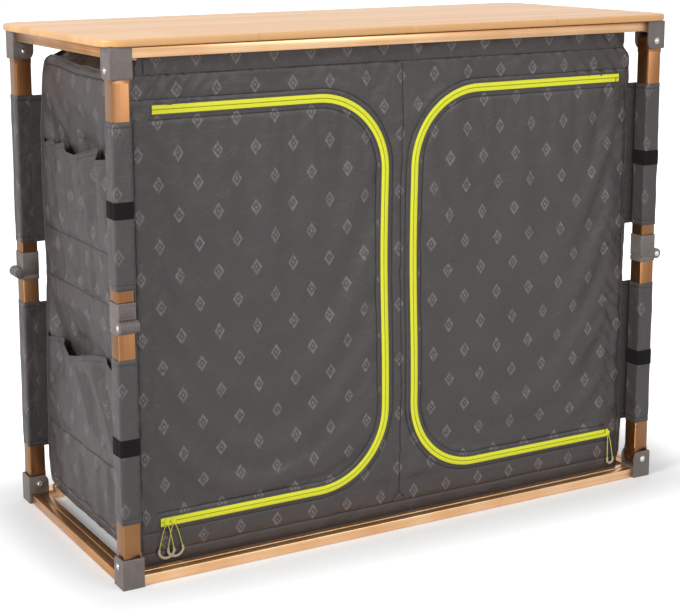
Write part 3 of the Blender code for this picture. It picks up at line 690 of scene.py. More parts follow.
# How far out the side walls hang at each height
SIDE_PROFILE = (
    (0.022, 0.4560), (0.040, 0.4625), (0.080, 0.4650), (0.180, 0.4645), (0.300, 0.4615), (0.400, 0.4595),
    (0.480, 0.4605), (0.600, 0.4600), (0.645, 0.4600), (0.670, 0.4580), (0.694, 0.4560), (0.719, 0.4545),
    (0.735, 0.4530), (0.748, 0.4510), (0.754, 0.4470), (0.758, 0.4400),
)
# Faces the folded legs pass, with a hair of room
SIDE_LIMIT = 0.4689
BACK_LIMIT = 0.1859
FRONT_LIMIT = -0.1861


def side_wall(v):
    heights, widths = zip(*SIDE_PROFILE)
    return np.interp(v, heights, widths)


def side_surface(side):
    def surface(u, v):
        return np.stack([side * side_wall(v), u, v], 1)

    return surface


def back_surface(u, v):
    return np.stack([u, np.full(len(u), BACK_LIMIT - 2.5 * MM), v], 1)


SIDE_LOW, SIDE_HIGH = (FACE, panel_low.z), (body_high.y - 2 * MM, 0.758)
HEM_DROP = 12 * MM
POCKETS = {"upper": (0.482, 0.633), "lower": (0.150, 0.310)}
# The hem line of each pocket: places from front to back and its height there
MOUTHS = {
    "upper": (
        (-0.180, 0.626), (-0.125, 0.620), (-0.101, 0.624), (-0.066, 0.619), (-0.048, 0.633), (-0.032, 0.631),
        (-0.011, 0.624), (0.021, 0.616), (0.054, 0.617), (0.085, 0.628), (0.110, 0.622), (0.131, 0.628),
        (0.155, 0.620), (0.180, 0.628),
    ),
    "lower": (
        (-0.180, 0.302), (-0.120, 0.298), (-0.076, 0.304), (-0.058, 0.310), (-0.011, 0.303), (0.030, 0.292),
        (0.069, 0.283), (0.087, 0.294), (0.103, 0.303), (0.135, 0.300), (0.164, 0.294), (0.180, 0.308),
    ),
}
WELT = 8 * MM
SINK = 21 * MM


def edge_pins(low, high, reach):
    def pinned(u, v):
        return (u < low[0] + reach) | (u > high[0] - reach) | (v < low[1] + reach) | (v > high[1] - reach)

    return pinned


def front_pins(u, v):
    border = edge_pins((panel_low.x, panel_low.z), (panel_high.x, panel_high.z), 6 * MM)(u, v)
    return border | near_zip(u, v, 13 * MM) | (np.abs(v - 0.755) < 5 * MM)


def side_pins(u, v):
    border = edge_pins(SIDE_LOW, SIDE_HIGH, 6 * MM)(u, v)
    return border | (np.abs(v - 0.48) < 5 * MM) | (np.abs(v - 0.40) < 5 * MM) | (np.abs(v - 0.15) < 5 * MM)


def back_pins(u, v):
    low, high = (body_low.x, panel_low.z), (body_high.x, body_high.z)
    return edge_pins(low, high, 6 * MM)(u, v) | (np.abs(u) < 6 * MM) | (np.abs(v - 0.40) < 6 * MM)


grids = {}
grids["front"] = drape_grid(
    "front_drape", (panel_low.x, panel_low.z), (panel_high.x, panel_high.z), 10 * MM,
    front_surface, front_pins, 0.005,
)
for where, side in SIDES.items():
    grids[where] = drape_grid(
        f"{where}_drape", SIDE_LOW, SIDE_HIGH, 9 * MM, side_surface(side), side_pins, 0.014
    )
grids["back"] = drape_grid(
    "back_drape", (body_low.x, panel_low.z), (body_high.x, body_high.z), 12 * MM,
    back_surface, back_pins, 0.01,
)
settle(list(grids.values()), 36)


# Pieces that repeat along a line or at points


def tree_with_inputs(name, inputs):
    """A geometry tree with a geometry input and output and named values."""
    tree = bpy.data.node_groups.new(name, "GeometryNodeTree")
    tree.interface.new_socket("Geometry", in_out="OUTPUT", socket_type="NodeSocketGeometry")
    tree.interface.new_socket("Geometry", in_out="INPUT", socket_type="NodeSocketGeometry")
    for label, kind in inputs.items():
        tree.interface.new_socket(label, in_out="INPUT", socket_type=kind)
    return tree, add(tree, "NodeGroupInput")


def grain_tree():
    """Rounded grains along a line: stitches, or the teeth of a zip."""
    tree, given = tree_with_inputs(
        "grains_along_line",
        {
            "Pitch": "NodeSocketFloat", "Grain": "NodeSocketVector", "Sideways": "NodeSocketFloat",
            "Outward": "NodeSocketVector", "Finish": "NodeSocketMaterial",
        },
    )
    value = given.outputs
    line = add(tree, "GeometryNodeMeshToCurve", links={"Mesh": value["Geometry"]})
    spread = add(
        tree, "GeometryNodeResampleCurve", {"mode": "LENGTH"}, {"Curve": line, "Length": value["Pitch"]}
    )
    ball = add(tree, "GeometryNodeMeshUVSphere", {"Segments": 6, "Rings": 4, "Radius": 0.5})
    aside = add(tree, "ShaderNodeCombineXYZ", links={"Y": value["Sideways"]})
    grain = add(
        tree, "GeometryNodeTransform",
        links={"Geometry": ball, "Scale": value["Grain"], "Translation": aside},
    )
    tangent = add(tree, "GeometryNodeInputTangent")
    turn = add(
        tree, "FunctionNodeAxesToRotation", {"primary_axis": "X", "secondary_axis": "Z"},
        {"Primary Axis": tangent, "Secondary Axis": value["Outward"]},
    )
    rows = add(
        tree, "GeometryNodeInstanceOnPoints", links={"Points": spread, "Instance": grain, "Rotation": turn}
    )
    real = add(tree, "GeometryNodeRealizeInstances", links={"Geometry": rows})
    done = add(tree, "GeometryNodeSetMaterial", links={"Geometry": real, "Material": value["Finish"]})
    add(tree, "NodeGroupOutput", links={"Geometry": done})
    return tree


def rivet_tree():
    """Domed rivet heads on a flange, at points, each facing its own way."""
    tree, given = tree_with_inputs(
        "rivet_heads",
        {
            "Flange Radius": "NodeSocketFloat", "Flange Height": "NodeSocketFloat",
            "Finish": "NodeSocketMaterial",
        },
    )
    value = given.outputs
    flange = add(
        tree, "GeometryNodeMeshCylinder", {"Vertices": 28, "Side Segments": 1},
        {"Radius": value["Flange Radius"], "Depth": value["Flange Height"]},
    )
    ball = add(tree, "GeometryNodeMeshUVSphere", {"Segments": 28, "Rings": 14, "Radius": 1.0})
    dome_radius = add(
        tree, "ShaderNodeMath", {"operation": "MULTIPLY", 1: 0.66}, {0: value["Flange Radius"]}
    )
    half = add(tree, "ShaderNodeMath", {"operation": "MULTIPLY", 1: 0.5}, {0: value["Flange Height"]})
    lift = add(tree, "ShaderNodeCombineXYZ", links={"Z": half})
    size = add(
        tree, "ShaderNodeCombineXYZ", links={"X": dome_radius, "Y": dome_radius, "Z": value["Flange Height"]}
    )
    dome = add(tree, "GeometryNodeTransform", links={"Geometry": ball, "Scale": size, "Translation": lift})
    joined = add(tree, "GeometryNodeJoinGeometry")
    tree.links.new(flange.outputs["Mesh"], joined.inputs[0])
    tree.links.new(dome.outputs[0], joined.inputs[0])
    facing = add(tree, "GeometryNodeInputNamedAttribute", {"data_type": "FLOAT_VECTOR", "Name": "facing"})
    turn = add(tree, "FunctionNodeAlignRotationToVector", {"axis": "Z"}, {"Vector": facing})
    rows = add(
        tree, "GeometryNodeInstanceOnPoints",
        links={"Points": value["Geometry"], "Instance": joined, "Rotation": turn},
    )
    real = add(tree, "GeometryNodeRealizeInstances", links={"Geometry": rows})
    done = add(tree, "GeometryNodeSetMaterial", links={"Geometry": real, "Material": value["Finish"]})
    add(tree, "NodeGroupOutput", links={"Geometry": done})
    return tree


TREES = {"grains": grain_tree(), "rivets": rivet_tree()}


def grown(name, mesh, tree, values):
    """A plain mesh grown from a base mesh by one of the trees."""
    thing = bpy.data.objects.new(name, mesh)
    bpy.context.scene.collection.objects.link(thing)
    grow = thing.modifiers.new("grow", "NODES")
    grow.node_group = TREES[tree]
    for socket in TREES[tree].interface.items_tree:
        if socket.name in values:
            grow[socket.identifier] = values[socket.name]
    return smooth(applied(thing), 50)


def line_mesh(name, lines):
    """Open lines of points as one mesh of edges."""
    mesh = bpy.data.meshes.new(name)
    points = [tuple(p) for line in lines for p in line]
    edges, first = [], 0
    for line in lines:
        edges += [(first + i, first + i + 1) for i in range(len(line) - 1)]
        first += len(line)
    mesh.from_pydata(points, edges, [])
    return mesh


def stitches(name, lines, outward, finish="thread"):
    values = {
        "Pitch": STITCH_PITCH, "Grain": (STITCH_LENGTH, THREAD, THREAD), "Sideways": 0.0,
        "Outward": outward, "Finish": FINISH[finish],
    }
    return grown(name, line_mesh(name, lines), "grains", values)


def fold_flat(thing, body, floor=FOLD_FLOOR, keep=FOLD_KEEP):
    """Rides on a body, with a mesh of its own."""
    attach(thing, body)
    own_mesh(thing)


# Front panel and doors

FRONT_LOW = 10 * MM  # the hem hangs behind the base rail
RECESS = 2 * MM  # the strip below the lower zips, behind the pulls
RECESS_TOP = 0.076


def zip_wave(v):
    """How far the zips and the cloth beside them lean sideways, a little out of true."""
    tall = np.clip((v - DOOR_LOW) / (DOOR_HIGH - DOOR_LOW), 0, 1)
    return 2.6 * MM * np.sin(2.2 * math.pi * tall + 0.4) * np.sin(math.pi * tall)


def front_places(flat, deep):
    """Where points of the flat front lie when it hangs."""
    u, v = flat.T
    calm = near_zip(u, v, 12 * MM)
    folds = 0.9 * ripple(u, v, 42 * MM, 3.1) + 1.5 * ripple(u, v * 0.4, 62 * MM, 7.7)
    valance = np.clip((v - 0.745) / 0.01, 0, 1) * 2.8 * ripple(u + 0.5 * v, v * 0.3, 15 * MM, 4.4)
    corner = np.exp(-(((np.abs(u) - 0.40) / 0.07) ** 2) - ((v - 0.735) / 0.03) ** 2)
    corner = corner + 0.7 * np.exp(-(((np.abs(u) - 0.435) / 0.02) ** 2) - ((v - 0.30) / 0.16) ** 2)
    pulls = 2.6 * corner * np.sin((np.abs(u) * 0.8 + v * 0.7) / (3.4 * MM) + 2 * ripple(u, v, 40 * MM, 5.0))
    hem = np.clip((0.034 - v) / 0.006, 0, 1) * 1.2 * ripple(u, v * 0.3, 22 * MM, 9.2)
    middle = np.exp(-((u / 0.026) ** 2)) * 0.9 * ripple(u * 0.5, v, 9 * MM, 6.1)
    low = (v < RECESS_TOP) * np.clip((RECESS_TOP - v) / (6 * MM), 0, 1)
    out = np.where(calm, 0.0, folds) + valance + pulls + hem + middle * ~near_zip(u, v, 9 * MM)
    # the cloth may bulge forward no further than the folded legs allow
    out = np.clip(out, -4.0, 2.2) * MM - SEAM_DEPTH * deep - RECESS * low
    places = front_surface(u, v) + draped(grids.get("front"), u, v, 3 * MM) * (1 - low)[:, None]
    places[:, 1] -= out
    places[:, 1] = np.maximum(places[:, 1], FRONT_LIMIT + RECESS * low)
    places[:, 0] += zip_wave(v) * np.clip((0.30 - np.abs(u)) / 0.27, 0, 1)
    return places


def on_front(line, out):
    """A flat line laid on the front cloth, lifted out a little."""
    flat = np.array(line)
    places = front_places(flat, np.zeros(len(flat)))
    places[:, 1] -= out
    return places


def panel_outline():
    top = panel_high.z
    right = [
        (0.461, 0.06), (0.463, 0.12), (0.463, 0.20), (0.4605, 0.28), (0.458, 0.36), (0.4575, 0.42),
        (0.460, 0.50), (0.4625, 0.60), (0.4615, 0.66), (0.459, 0.69), (0.4585, 0.715), (0.4575, 0.73),
        (0.4555, 0.745), (0.4475, 0.757), (0.449, 0.765),
    ]
    left = [(-x, z) for x, z in reversed(right)]
    return [(-0.459, FRONT_LOW), (0.459, FRONT_LOW)] + right + [(0.446, top), (-0.446, top)] + left


def panel_seams():
    seams = [
        [(-0.446, 0.755), (0.446, 0.755)],
        [(-0.457, 0.0325), (0.457, 0.0325)],
        [(0.0035, 0.05), (0.0035, 0.751)],
        [(-0.008, 0.036), (0.0015, 0.046)],
        [(0.015, 0.036), (0.0055, 0.046)],
        [(-0.4375, 0.7585), (-0.4375, 0.779)],
    ]
    for side in (-1, 1):
        seams.append([(side * 0.4545, 0.040), (side * 0.4545, 0.099)])
        seams.append([(side * 0.4545, 0.125), (side * 0.4545, 0.69)])
        line = door_line(side, PLACKET)
        seams.append([(side * 0.4545, line[0][1])] + line + [(side * 0.4545, line[-1][1])])
    return seams


def facing_front(flat, triangles):
    a, b, c = (flat[triangles[:, k]] for k in range(3))
    cross = (b - a)[:, 0] * (c - a)[:, 1] - (b - a)[:, 1] * (c - a)[:, 0]
    return triangles if cross.sum() > 0 else triangles[:, ::-1]


def make_front():
    holes = [door_line(side) for side in (-1, 1)]
    flat, triangles, deep = patch(panel_outline(), holes, panel_seams(), 6 * MM)
    at = front_places(flat, deep)
    panel = cloth_piece("front_cloth", flat, facing_front(flat, triangles), deep, at)
    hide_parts("front_panel")
    fold_flat(panel, "base_frame")
    seam_lines = [on_front(spaced(s, 4 * MM), 0.1 * MM) for s in panel_seams()]
    fold_flat(stitches("front_stitching", seam_lines, (0, -1, 0)), "base_frame")
    for where, side in SIDES.items():
        make_door(where, side)


def make_door(where, side):
    body = f"door_{where}"
    line = door_line(side, -PLACKET)
    seam = [(side * (HINGE - 2 * MM), line[0][1])] + line[1:-1] + [(side * (HINGE - 2 * MM), line[-1][1])]
    flat, triangles, deep = patch(door_line(side), [], [seam], 6 * MM)
    name = f"door_cloth_{where}"
    door = cloth_piece(name, flat, facing_front(flat, triangles), deep, front_places(flat, deep))
    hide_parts(body)
    fold_flat(door, body)
    sewing = stitches(f"door_stitching_{where}", [on_front(spaced(seam, 4 * MM), 0.1 * MM)], (0, -1, 0))
    fold_flat(sewing, body)


# Zips

ZIP_STOP = {-1: 0.4245, 1: HINGE - 0.8 * MM}  # where the door's half of a zip ends
ZIP_END = 0.4365  # the right zips run on past the hinge


def swept(name, line, profile, finish):
    """A profile of (sideways, outward) points drawn along a line on the front, closed at its ends."""
    flat = np.array(spaced(line, 5 * MM))
    lean = front_places(flat, np.zeros(len(flat)))[:, 0] - flat[:, 0]
    rings = [np.array(beside(flat, aside)) for aside, _ in profile]
    bm = bmesh.new()
    rows = []
    for i in range(len(flat)):
        spots = [(ring[i, 0] + lean[i], FACE - out, ring[i, 1]) for ring, (_, out) in zip(rings, profile)]
        rows.append([bm.verts.new(spot) for spot in spots])
    count = len(profile)
    for first, second in zip(rows, rows[1:]):
        for k in range(count):
            bm.faces.new((first[k], first[(k + 1) % count], second[(k + 1) % count], second[k]))
    bm.faces.new(rows[0])
    bm.faces.new(rows[-1])
    bmesh.ops.recalc_face_normals(bm, faces=bm.faces[:])
    mesh = bpy.data.meshes.new(name)
    bm.to_mesh(mesh)
    bm.free()
    return smooth(linked(name, mesh, finish), 45)


def zip_line(side, part):
    line = door_line(side)
    end = side * (ZIP_END if side > 0 and part == "panel" else ZIP_STOP[side])
    return [(end, line[0][1])] + line[1:-1] + [(end, line[-1][1])]


def make_zip(where, side):
    for part, body, way in (("panel", "base_frame", -side), ("door", f"door_{where}", side)):
        # way: the panel's half lies outside the line, the door's inside it
        tape = [
            (0.25, 0.3), (0.9, 1.3), (1.9, 1.45), (3.0, 1.2), (5.9, 1.1), (6.5, 0.8), (6.5, 0.1),
            (0.25, 0.1),
        ]
        profile = [(way * a * MM, b * MM) for a, b in tape]
        line = zip_line(side, part)
        if part == "door" and side > 0:
            # past the hinge the inner half is sewn to the panel
            start = HINGE + 1.3 * MM
            for level, ends in (("upper", (ZIP_END, start)), ("lower", (start, ZIP_END))):
                z = line[0 if level == "upper" else -1][1]
                stub = swept(f"zip_tape_end_{level}", [(ends[0], z), (ends[1], z)], profile, "tape")
                fold_flat(stub, "base_frame")
        band = swept(f"zip_tape_{part}_{where}", line, profile, "tape")
        fold_flat(band, body)
        turns = np.linspace(0.0, math.pi, 7)
        fold = [(6.5 + 1.4 * (1 - math.cos(t)), 0.2 + 1.2 * math.sin(t)) for t in turns]
        edge = swept(
            f"zip_placket_{part}_{where}", line, [(way * a * MM, b * MM) for a, b in fold], "plain_cloth"
        )
        fold_flat(edge, body)
        path = on_front(spaced(line, 4 * MM), 0.0)
        path[:, 1] = FACE - 0.85 * MM
        values = {
            "Pitch": 2.2 * MM, "Grain": (1.5 * MM, 1.1 * MM, 1.0 * MM), "Sideways": -way * 0.35 * MM,
            "Outward": (0, -1, 0), "Finish": FINISH["coil"],
        }
        teeth = grown(f"zip_teeth_{part}_{where}", line_mesh("teeth", [path]), "grains", values)
        fold_flat(teeth, body)


def tube(name, points, radius, finish, closed=False, sides=4):
    """A round cord or tube along points."""
    data = bpy.data.curves.new(name, "CURVE")
    data.dimensions = "3D"
    data.bevel_depth = radius
    data.bevel_resolution = sides
    data.use_fill_caps = True
    spline = data.splines.new("POLY")
    spline.points.add(len(points) - 1)
    for spot, p in zip(spline.points, points):
        spot.co = (*p, 1.0)
    spline.use_cyclic_u = closed
    thing = bpy.data.objects.new(name, data)
    bpy.context.scene.collection.objects.link(thing)
    thing = applied(thing)
    thing.data.materials.clear()
    thing.data.materials.append(FINISH[finish])
    return smooth(thing, 60)


def smooth_line(points, steps):
    """A smooth curve through points."""
    points = [np.array(p) for p in points]
    field = [2 * points[0] - points[1], *points, 2 * points[-1] - points[-2]]
    line = []
    for i in range(len(points) - 1):
        a, b, c, d = field[i : i + 4]
        for f in np.linspace(0, 1, steps, endpoint=False):
            bend = (2 * a - 5 * b + 4 * c - d) * f**2 + (3 * b - a - 3 * c + d) * f**3
            line.append((2 * b + (c - a) * f + bend) / 2)
    return [tuple(p) for p in line + [points[-1]]]


def slider_body(name, centre, top):
    """Die-cast slider: a flat shield with eased edges, wider at its mouth."""
    half = [(3.0, 0.0), (3.8, 2.6), (4.1, 5.6), (2.4, 8.4)]
    outline = [(-x, z) for x, z in half] + half[::-1]
    bm = bmesh.new()
    rings = []
    for share, out in ((1.0, 1.5), (1.0, 2.4), (0.8, 3.0)):
        ring = [(x * share, (z - 4.2) * share + 4.2) for x, z in outline]
        y, foot = FACE - out * MM, top - 8.4 * MM
        rings.append([bm.verts.new((centre + x * MM, y, foot + z * MM)) for x, z in ring])
    for first, second in zip(rings, rings[1:]):
        for k in range(len(outline)):
            n = (k + 1) % len(outline)
            bm.faces.new((first[k], first[n], second[n], second[k]))
    bm.faces.new(rings[0])
    bm.faces.new(rings[-1])
    bmesh.ops.recalc_face_normals(bm, faces=bm.faces[:])
    mesh = bpy.data.meshes.new(f"{name}_body")
    bm.to_mesh(mesh)
    bm.free()
    body = linked(f"{name}_body", mesh, "tape")
    ease = body.modifiers.new("ease", "BEVEL")
    ease.width = 0.4 * MM
    ease.segments = 2
    return smooth(applied(body), 40)


def make_slider(name, shift, lean, spread, depth):
    """Zip slider with a teardrop cord loop, sheathed along its lower bend."""
    low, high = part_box(name)
    middle = (low.x + high.x) / 2 + shift
    body = slider_body(name, middle, high.z)
    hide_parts(name)
    fold_flat(body, name)
    foot = low.z - 5.0 * MM
    ring = arc((middle + lean, foot + spread), spread, 190, 350, 14)
    eye = (middle, FACE - 2.5 * MM, high.z - 6.0 * MM)
    y = FACE - depth
    neck = high.z - 18 * MM
    left = [eye, (middle + 0.3 * lean - 0.42 * spread, eye[1], neck), (ring[0][0], y, ring[0][1])]
    right = [(ring[-1][0], y, ring[-1][1]), (middle + 0.3 * lean + 0.42 * spread, eye[1], neck), eye]
    loop = smooth_line(left, 8)[:-1] + [(x, y, z) for x, z in ring] + smooth_line(right, 8)[1:]
    cord = tube(f"{name}_loop", loop, 0.7 * MM, "cord")
    fold_flat(cord, name)
    bend = [p for p in loop if p[2] < foot + spread + 4 * MM]
    sheath = tube(f"{name}_sheath", bend, 2.2 * MM, "tube")
    for vertex in sheath.data.vertices:
        vertex.co.y = y + (vertex.co.y - y) * 0.64
    fold_flat(sheath, name)


# Sides, pockets, back, roof and floor


def hem_drop(u, v):
    """The upper hem of a side hangs lower towards the front."""
    share = (SIDE_HIGH[0] - u) / (SIDE_HIGH[0] - SIDE_LOW[0])
    wave = 1.5 * MM * np.sin(u / (31 * MM)) + 2.0 * MM * ripple(u, u, 40 * MM, 8.0)
    return (HEM_DROP * share + wave) * np.clip((v - 0.66) / 0.09, 0, 1)


def side_seams():
    near, far = SIDE_LOW[0] + HEM, SIDE_HIGH[0] - HEM
    rows = [[(near, z), (far, z)] for z in (0.48, 0.40, 0.146)]
    return rows + [[(near, 0.744), (far, 0.744)], [(near, 0.044), (far, 0.052)]]


def side_places(where, side):
    def places(flat, deep):
        u, v = flat.T
        out = side_wall(v)
        out = out + side * np.clip(draped(grids.get(where), u, v, 5 * MM)[:, 0] * 1.0, -5 * MM, 5 * MM)
        tall = 1.6 * ripple(u, v * 0.25, 26 * MM, 11.0 + side) + 0.8 * ripple(u, v, 17 * MM, 13.0 + side)
        out = out + tall * MM * np.clip((0.75 - v) / 0.04, 0, 1) - SEAM_DEPTH * deep
        for kind, (low, high) in POCKETS.items():
            # behind a pocket the wall is pushed in, most at the mouth
            above = np.clip((high + 0.055 - v) / 0.055, 0, 1)
            share = np.clip((v - low) / (high - low), 0, 1) ** 1.5 * above**0.7
            middle = np.clip(1 - (np.abs(u - 0.005) / 0.17) ** 4, 0, 1)
            out = out - SINK * share * middle * (0.4 + 0.6 * gape(kind, u))
        out = np.minimum(out, SIDE_LIMIT - 0.6 * MM)
        return np.stack([side * out, u, v - hem_drop(u, v)], 1)

    return places


def side_outline():
    (near, bottom), (far, top) = SIDE_LOW, SIDE_HIGH
    corner = 30 * MM
    outline = [(near + 2 * MM, bottom + 2 * MM)]
    outline += arc((far - corner, bottom + corner + 3 * MM), corner, -90, 0, 8)
    outline += [(far, 0.20), (far - 3 * MM, 0.40), (far, 0.60), (far, 0.72)]
    outline += [(far - 2 * MM, top), (near + 2 * MM, top)]
    return outline


def wound(flat, triangles, places, outward):
    """Triangles turned so that they face outward on the whole."""
    a, b, c = (places[triangles[:, k]] for k in range(3))
    return triangles if (np.cross(b - a, c - a) @ np.array(outward)).sum() > 0 else triangles[:, ::-1]


def make_side(where, side):
    place = side_places(where, side)
    flat, triangles, deep = patch(side_outline(), [], side_seams(), 5.5 * MM)
    at = place(flat, deep)
    faces = wound(flat, triangles, at, (side, 0, 0))
    wall = cloth_piece(f"side_cloth_{where}", flat, faces, deep, at, "side_cloth")
    if where == "left":
        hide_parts("fabric_body")
    fold_flat(wall, "base_frame")
    lines = []
    for seam in side_seams():
        line = np.array(spaced(seam, 4 * MM))
        spots = place(line, np.zeros(len(line)))
        spots[:, 0] += side * 0.15 * MM
        lines.append(spots)
    fold_flat(stitches(f"side_stitching_{where}", lines, (side, 0, 0)), "base_frame")
    rim = np.array(spaced(side_outline() + side_outline()[:1], 5 * MM))
    at = place(rim, np.zeros(len(rim)))
    line = [tuple(p) for p in at[:-1]]
    piping = tube(f"side_piping_{where}", line, 1.6 * MM, "plain_cloth", closed=True, sides=2)
    fold_flat(piping, "base_frame")
    make_shoulder(where, side, place)
    for kind in POCKETS:
        make_pocket(f"pocket_{kind}_{where}", side, kind)


def make_shoulder(where, side, place):
    """The slack strip between the upper hem of a side and the roof's edge."""
    near, far = SIDE_LOW[0] + 3 * MM, SIDE_HIGH[0] - 3 * MM
    width = 38 * MM
    outline = [(near, 0.0), (far, 0.0), (far, width), (near, width)]
    flat, triangles, deep = patch(outline, [], [], 7 * MM)
    u, w = flat.T
    hem = place(np.stack([u, np.full(len(u), SIDE_HIGH[1] - 1 * MM)], 1), np.zeros(len(u)))
    share = (w / width)[:, None]
    roof = np.stack([np.full(len(u), side * 0.411), u, np.full(len(u), 0.7672)], 1)
    at = hem * (1 - share) + roof * share
    at[:, 2] -= (5 * MM + 3 * MM * ripple(u, w, 30 * MM, 2.5)) * np.sin(math.pi * share[:, 0])
    strip = cloth_piece(f"shoulder_cloth_{where}", flat, wound(flat, triangles, at, (0, 0, 1)), deep, at)
    fold_flat(strip, "base_frame")


# Folds of a pocket: where each lies at the mouth and at the foot and how wide it is (shares of the
# pocket's length from its front end), and how far it stands out (positive) or in (negative)
FOLDS = {
    "upper": (
        (0.15, 0.14, 0.05, -1.0), (0.28, 0.25, 0.06, 1.0), (0.40, 0.37, 0.04, -1.1), (0.52, 0.52, 0.07, 0.8),
        (0.66, 0.64, 0.04, -1.0), (0.76, 0.76, 0.05, 0.8), (0.86, 0.86, 0.035, -0.9),
    ),
    "lower": (
        (0.12, 0.04, 0.04, -0.9), (0.24, 0.06, 0.06, 1.0), (0.38, 0.11, 0.045, -1.2), (0.50, 0.17, 0.05, 1.0),
        (0.62, 0.28, 0.045, -1.3), (0.74, 0.48, 0.06, 1.0), (0.86, 0.76, 0.05, -0.9),
    ),
}


def mouth_height(kind, u):
    places, heights = zip(*MOUTHS[kind])
    return np.interp(u, places, heights)


def gape(kind, u):
    """How far a pocket's mouth stands open, 0 to 1: where its hem sags it gapes."""
    top = max(z for _, z in MOUTHS[kind])
    return np.clip((top - mouth_height(kind, u)) / (16 * MM), 0, 1)


def make_pocket(name, side, kind):
    heights = POCKETS[kind]
    low, high = (SIDE_LOW[0] + 7 * MM, heights[0]), (SIDE_HIGH[0] - 5 * MM, heights[1])
    width, tall = high[0] - low[0], high[1] - low[1]

    def places(flat, deep):
        u, v = flat.T
        s, t = np.clip((u - low[0]) / width, 0, 1), np.clip((v - low[1]) / tall, 0, 1)
        ends = np.clip(s / 0.04, 0, 1) * np.clip((1 - s) / 0.04, 0, 1)
        folds = np.full(len(u), 0.2)
        for mouth, foot, wide, much in FOLDS[kind]:
            centre = foot + (mouth - foot) * t
            ridge = 1.08 - np.sqrt(((s - centre) / (1.5 * wide)) ** 2 + 0.006)
            folds = folds + 1.1 * much * np.clip(ridge, 0, 1)
        crease = 0.4 * ripple(u * 1.3, v * 0.7, 13 * MM, 21.0 + len(name)) + 0.4 * ripple(u, v, 30 * MM, 3.0)
        out = (folds + crease) * (1 - t**3) * np.clip(t / 0.3, 0, 1) ** 0.7
        out = out + (1.9 * gape(kind, u) - 0.9) * t**3
        room = 8.5 * MM * (0.45 + 0.55 * t)
        x = side_wall(v) + 0.6 * MM + np.clip(out, -1.7 * t, 1.0) * room * ends - 0.6 * SEAM_DEPTH * deep
        x = np.minimum(x, SIDE_LIMIT - 1.4 * MM)
        return np.stack([side * x, u, v - (high[1] - mouth_height(kind, u)) * t**1.5], 1)

    outline = [low, (high[0], low[1]), high, (low[0], high[1])]
    welt = [(low[0] + 2 * MM, high[1] - WELT), (high[0] - 2 * MM, high[1] - WELT)]
    foot = [(low[0] + 2 * MM, low[1] + 3 * MM), (high[0] - 2 * MM, low[1] + 3 * MM)]
    flat, triangles, deep = patch(outline, [], [welt, foot], 3.6 * MM)
    at = places(flat, deep)
    wall = cloth_piece(name, flat, wound(flat, triangles, at, (side, 0, 0)), deep, at, "side_cloth")
    fold_flat(wall, "base_frame")
    mouth = np.array(spaced([(low[0], high[1]), (high[0], high[1])], 3 * MM))
    line = [tuple(p) for p in places(mouth, np.zeros(len(mouth)))]
    rim = tube(f"{name}_welt", line, 1.3 * MM, "plain_cloth", sides=2)
    fold_flat(rim, "base_frame")


def make_back():
    low, high = (-0.462, panel_low.z), (0.462, body_high.z)
    # its ends follow the side walls, with rounded lower corners
    right = [(0.436, low[1]), (0.449, low[1] + 4 * MM), (0.458, low[1] + 14 * MM), (0.4625, 0.055)]
    right += [(x - 1.0 * MM, z) for z, x in SIDE_PROFILE if z > 0.06] + [(0.411, high[1])]
    outline = right + [(-x, z) for x, z in reversed(right)]
    seams = [[(-0.43, 0.0325), (0.43, 0.0325)], [(0.0, 0.04), (0.0, 0.75)]]
    seams.append([(-0.405, 0.755), (0.405, 0.755)])
    flat, triangles, deep = patch(outline, [], seams, 8 * MM)
    u, v = flat.T
    at = back_surface(u, v) + draped(grids.get("back"), u, v, 4 * MM)
    at[:, 1] += 1.4 * ripple(u, v * 0.5, 50 * MM, 17.0) * MM - SEAM_DEPTH * deep
    at[:, 1] = np.minimum(at[:, 1], BACK_LIMIT)
    wall = cloth_piece("back_cloth", flat, wound(flat, triangles, at, (0, 1, 0)), deep, at)
    fold_flat(wall, "base_frame")
    lines = []
    for seam in seams:
        u, v = np.array(spaced(seam, 4 * MM)).T
        depth = (back_surface(u, v) + draped(grids.get("back"), u, v, 4 * MM))[:, 1]
        lines.append(np.stack([u, np.minimum(depth, BACK_LIMIT) + 0.1 * MM, v], 1))
    fold_flat(stitches("back_stitching", lines, (0, 1, 0)), "base_frame")


def level_cloth(name, width, near, far, height, sag):
    """A level sheet inside the frame that sags a little between its edges."""
    outline = [(-width, near), (width, near), (width, far), (-width, far)]
    flat, triangles, deep = patch(outline, [], [], 14 * MM)
    u, v = flat.T
    middle = np.clip(1 - (u / width) ** 2, 0, 1)
    middle = middle * np.clip(1 - ((2 * v - near - far) / (far - near)) ** 2, 0, 1)
    at = np.stack([u, v, height - sag * middle], 1)
    wall = cloth_piece(name, flat, wound(flat, triangles, at, (0, 0, 1)), deep, at, "plain_cloth")
    fold_flat(wall, "base_frame")


def make_inside():
    near, far = FACE + 4 * MM, BACK_LIMIT - 5 * MM
    level_cloth("roof_cloth", 0.411, near, far, 0.7685, 4 * MM)
    level_cloth("floor_cloth", 0.448, near, far, body_low.z + 1.6 * MM, 0.0)
    far = BACK_LIMIT - 8 * MM
    outline = [(near, 0.0375), (far, 0.0375), (far, 0.763), (near, 0.763)]
    flat, triangles, deep = patch(outline, [], [], 14 * MM)
    u, v = flat.T
    at = np.stack([1.5 * MM * ripple(u, v, 90 * MM, 2.0), u, v], 1)
    wall = cloth_piece("divider_cloth", flat, wound(flat, triangles, at, (1, 0, 0)), deep, at, "plain_cloth")
    fold_flat(wall, "base_frame")
    for where in SIDES:
        for kind in ("shelf", "floor_board"):
            make_board(kind, where)


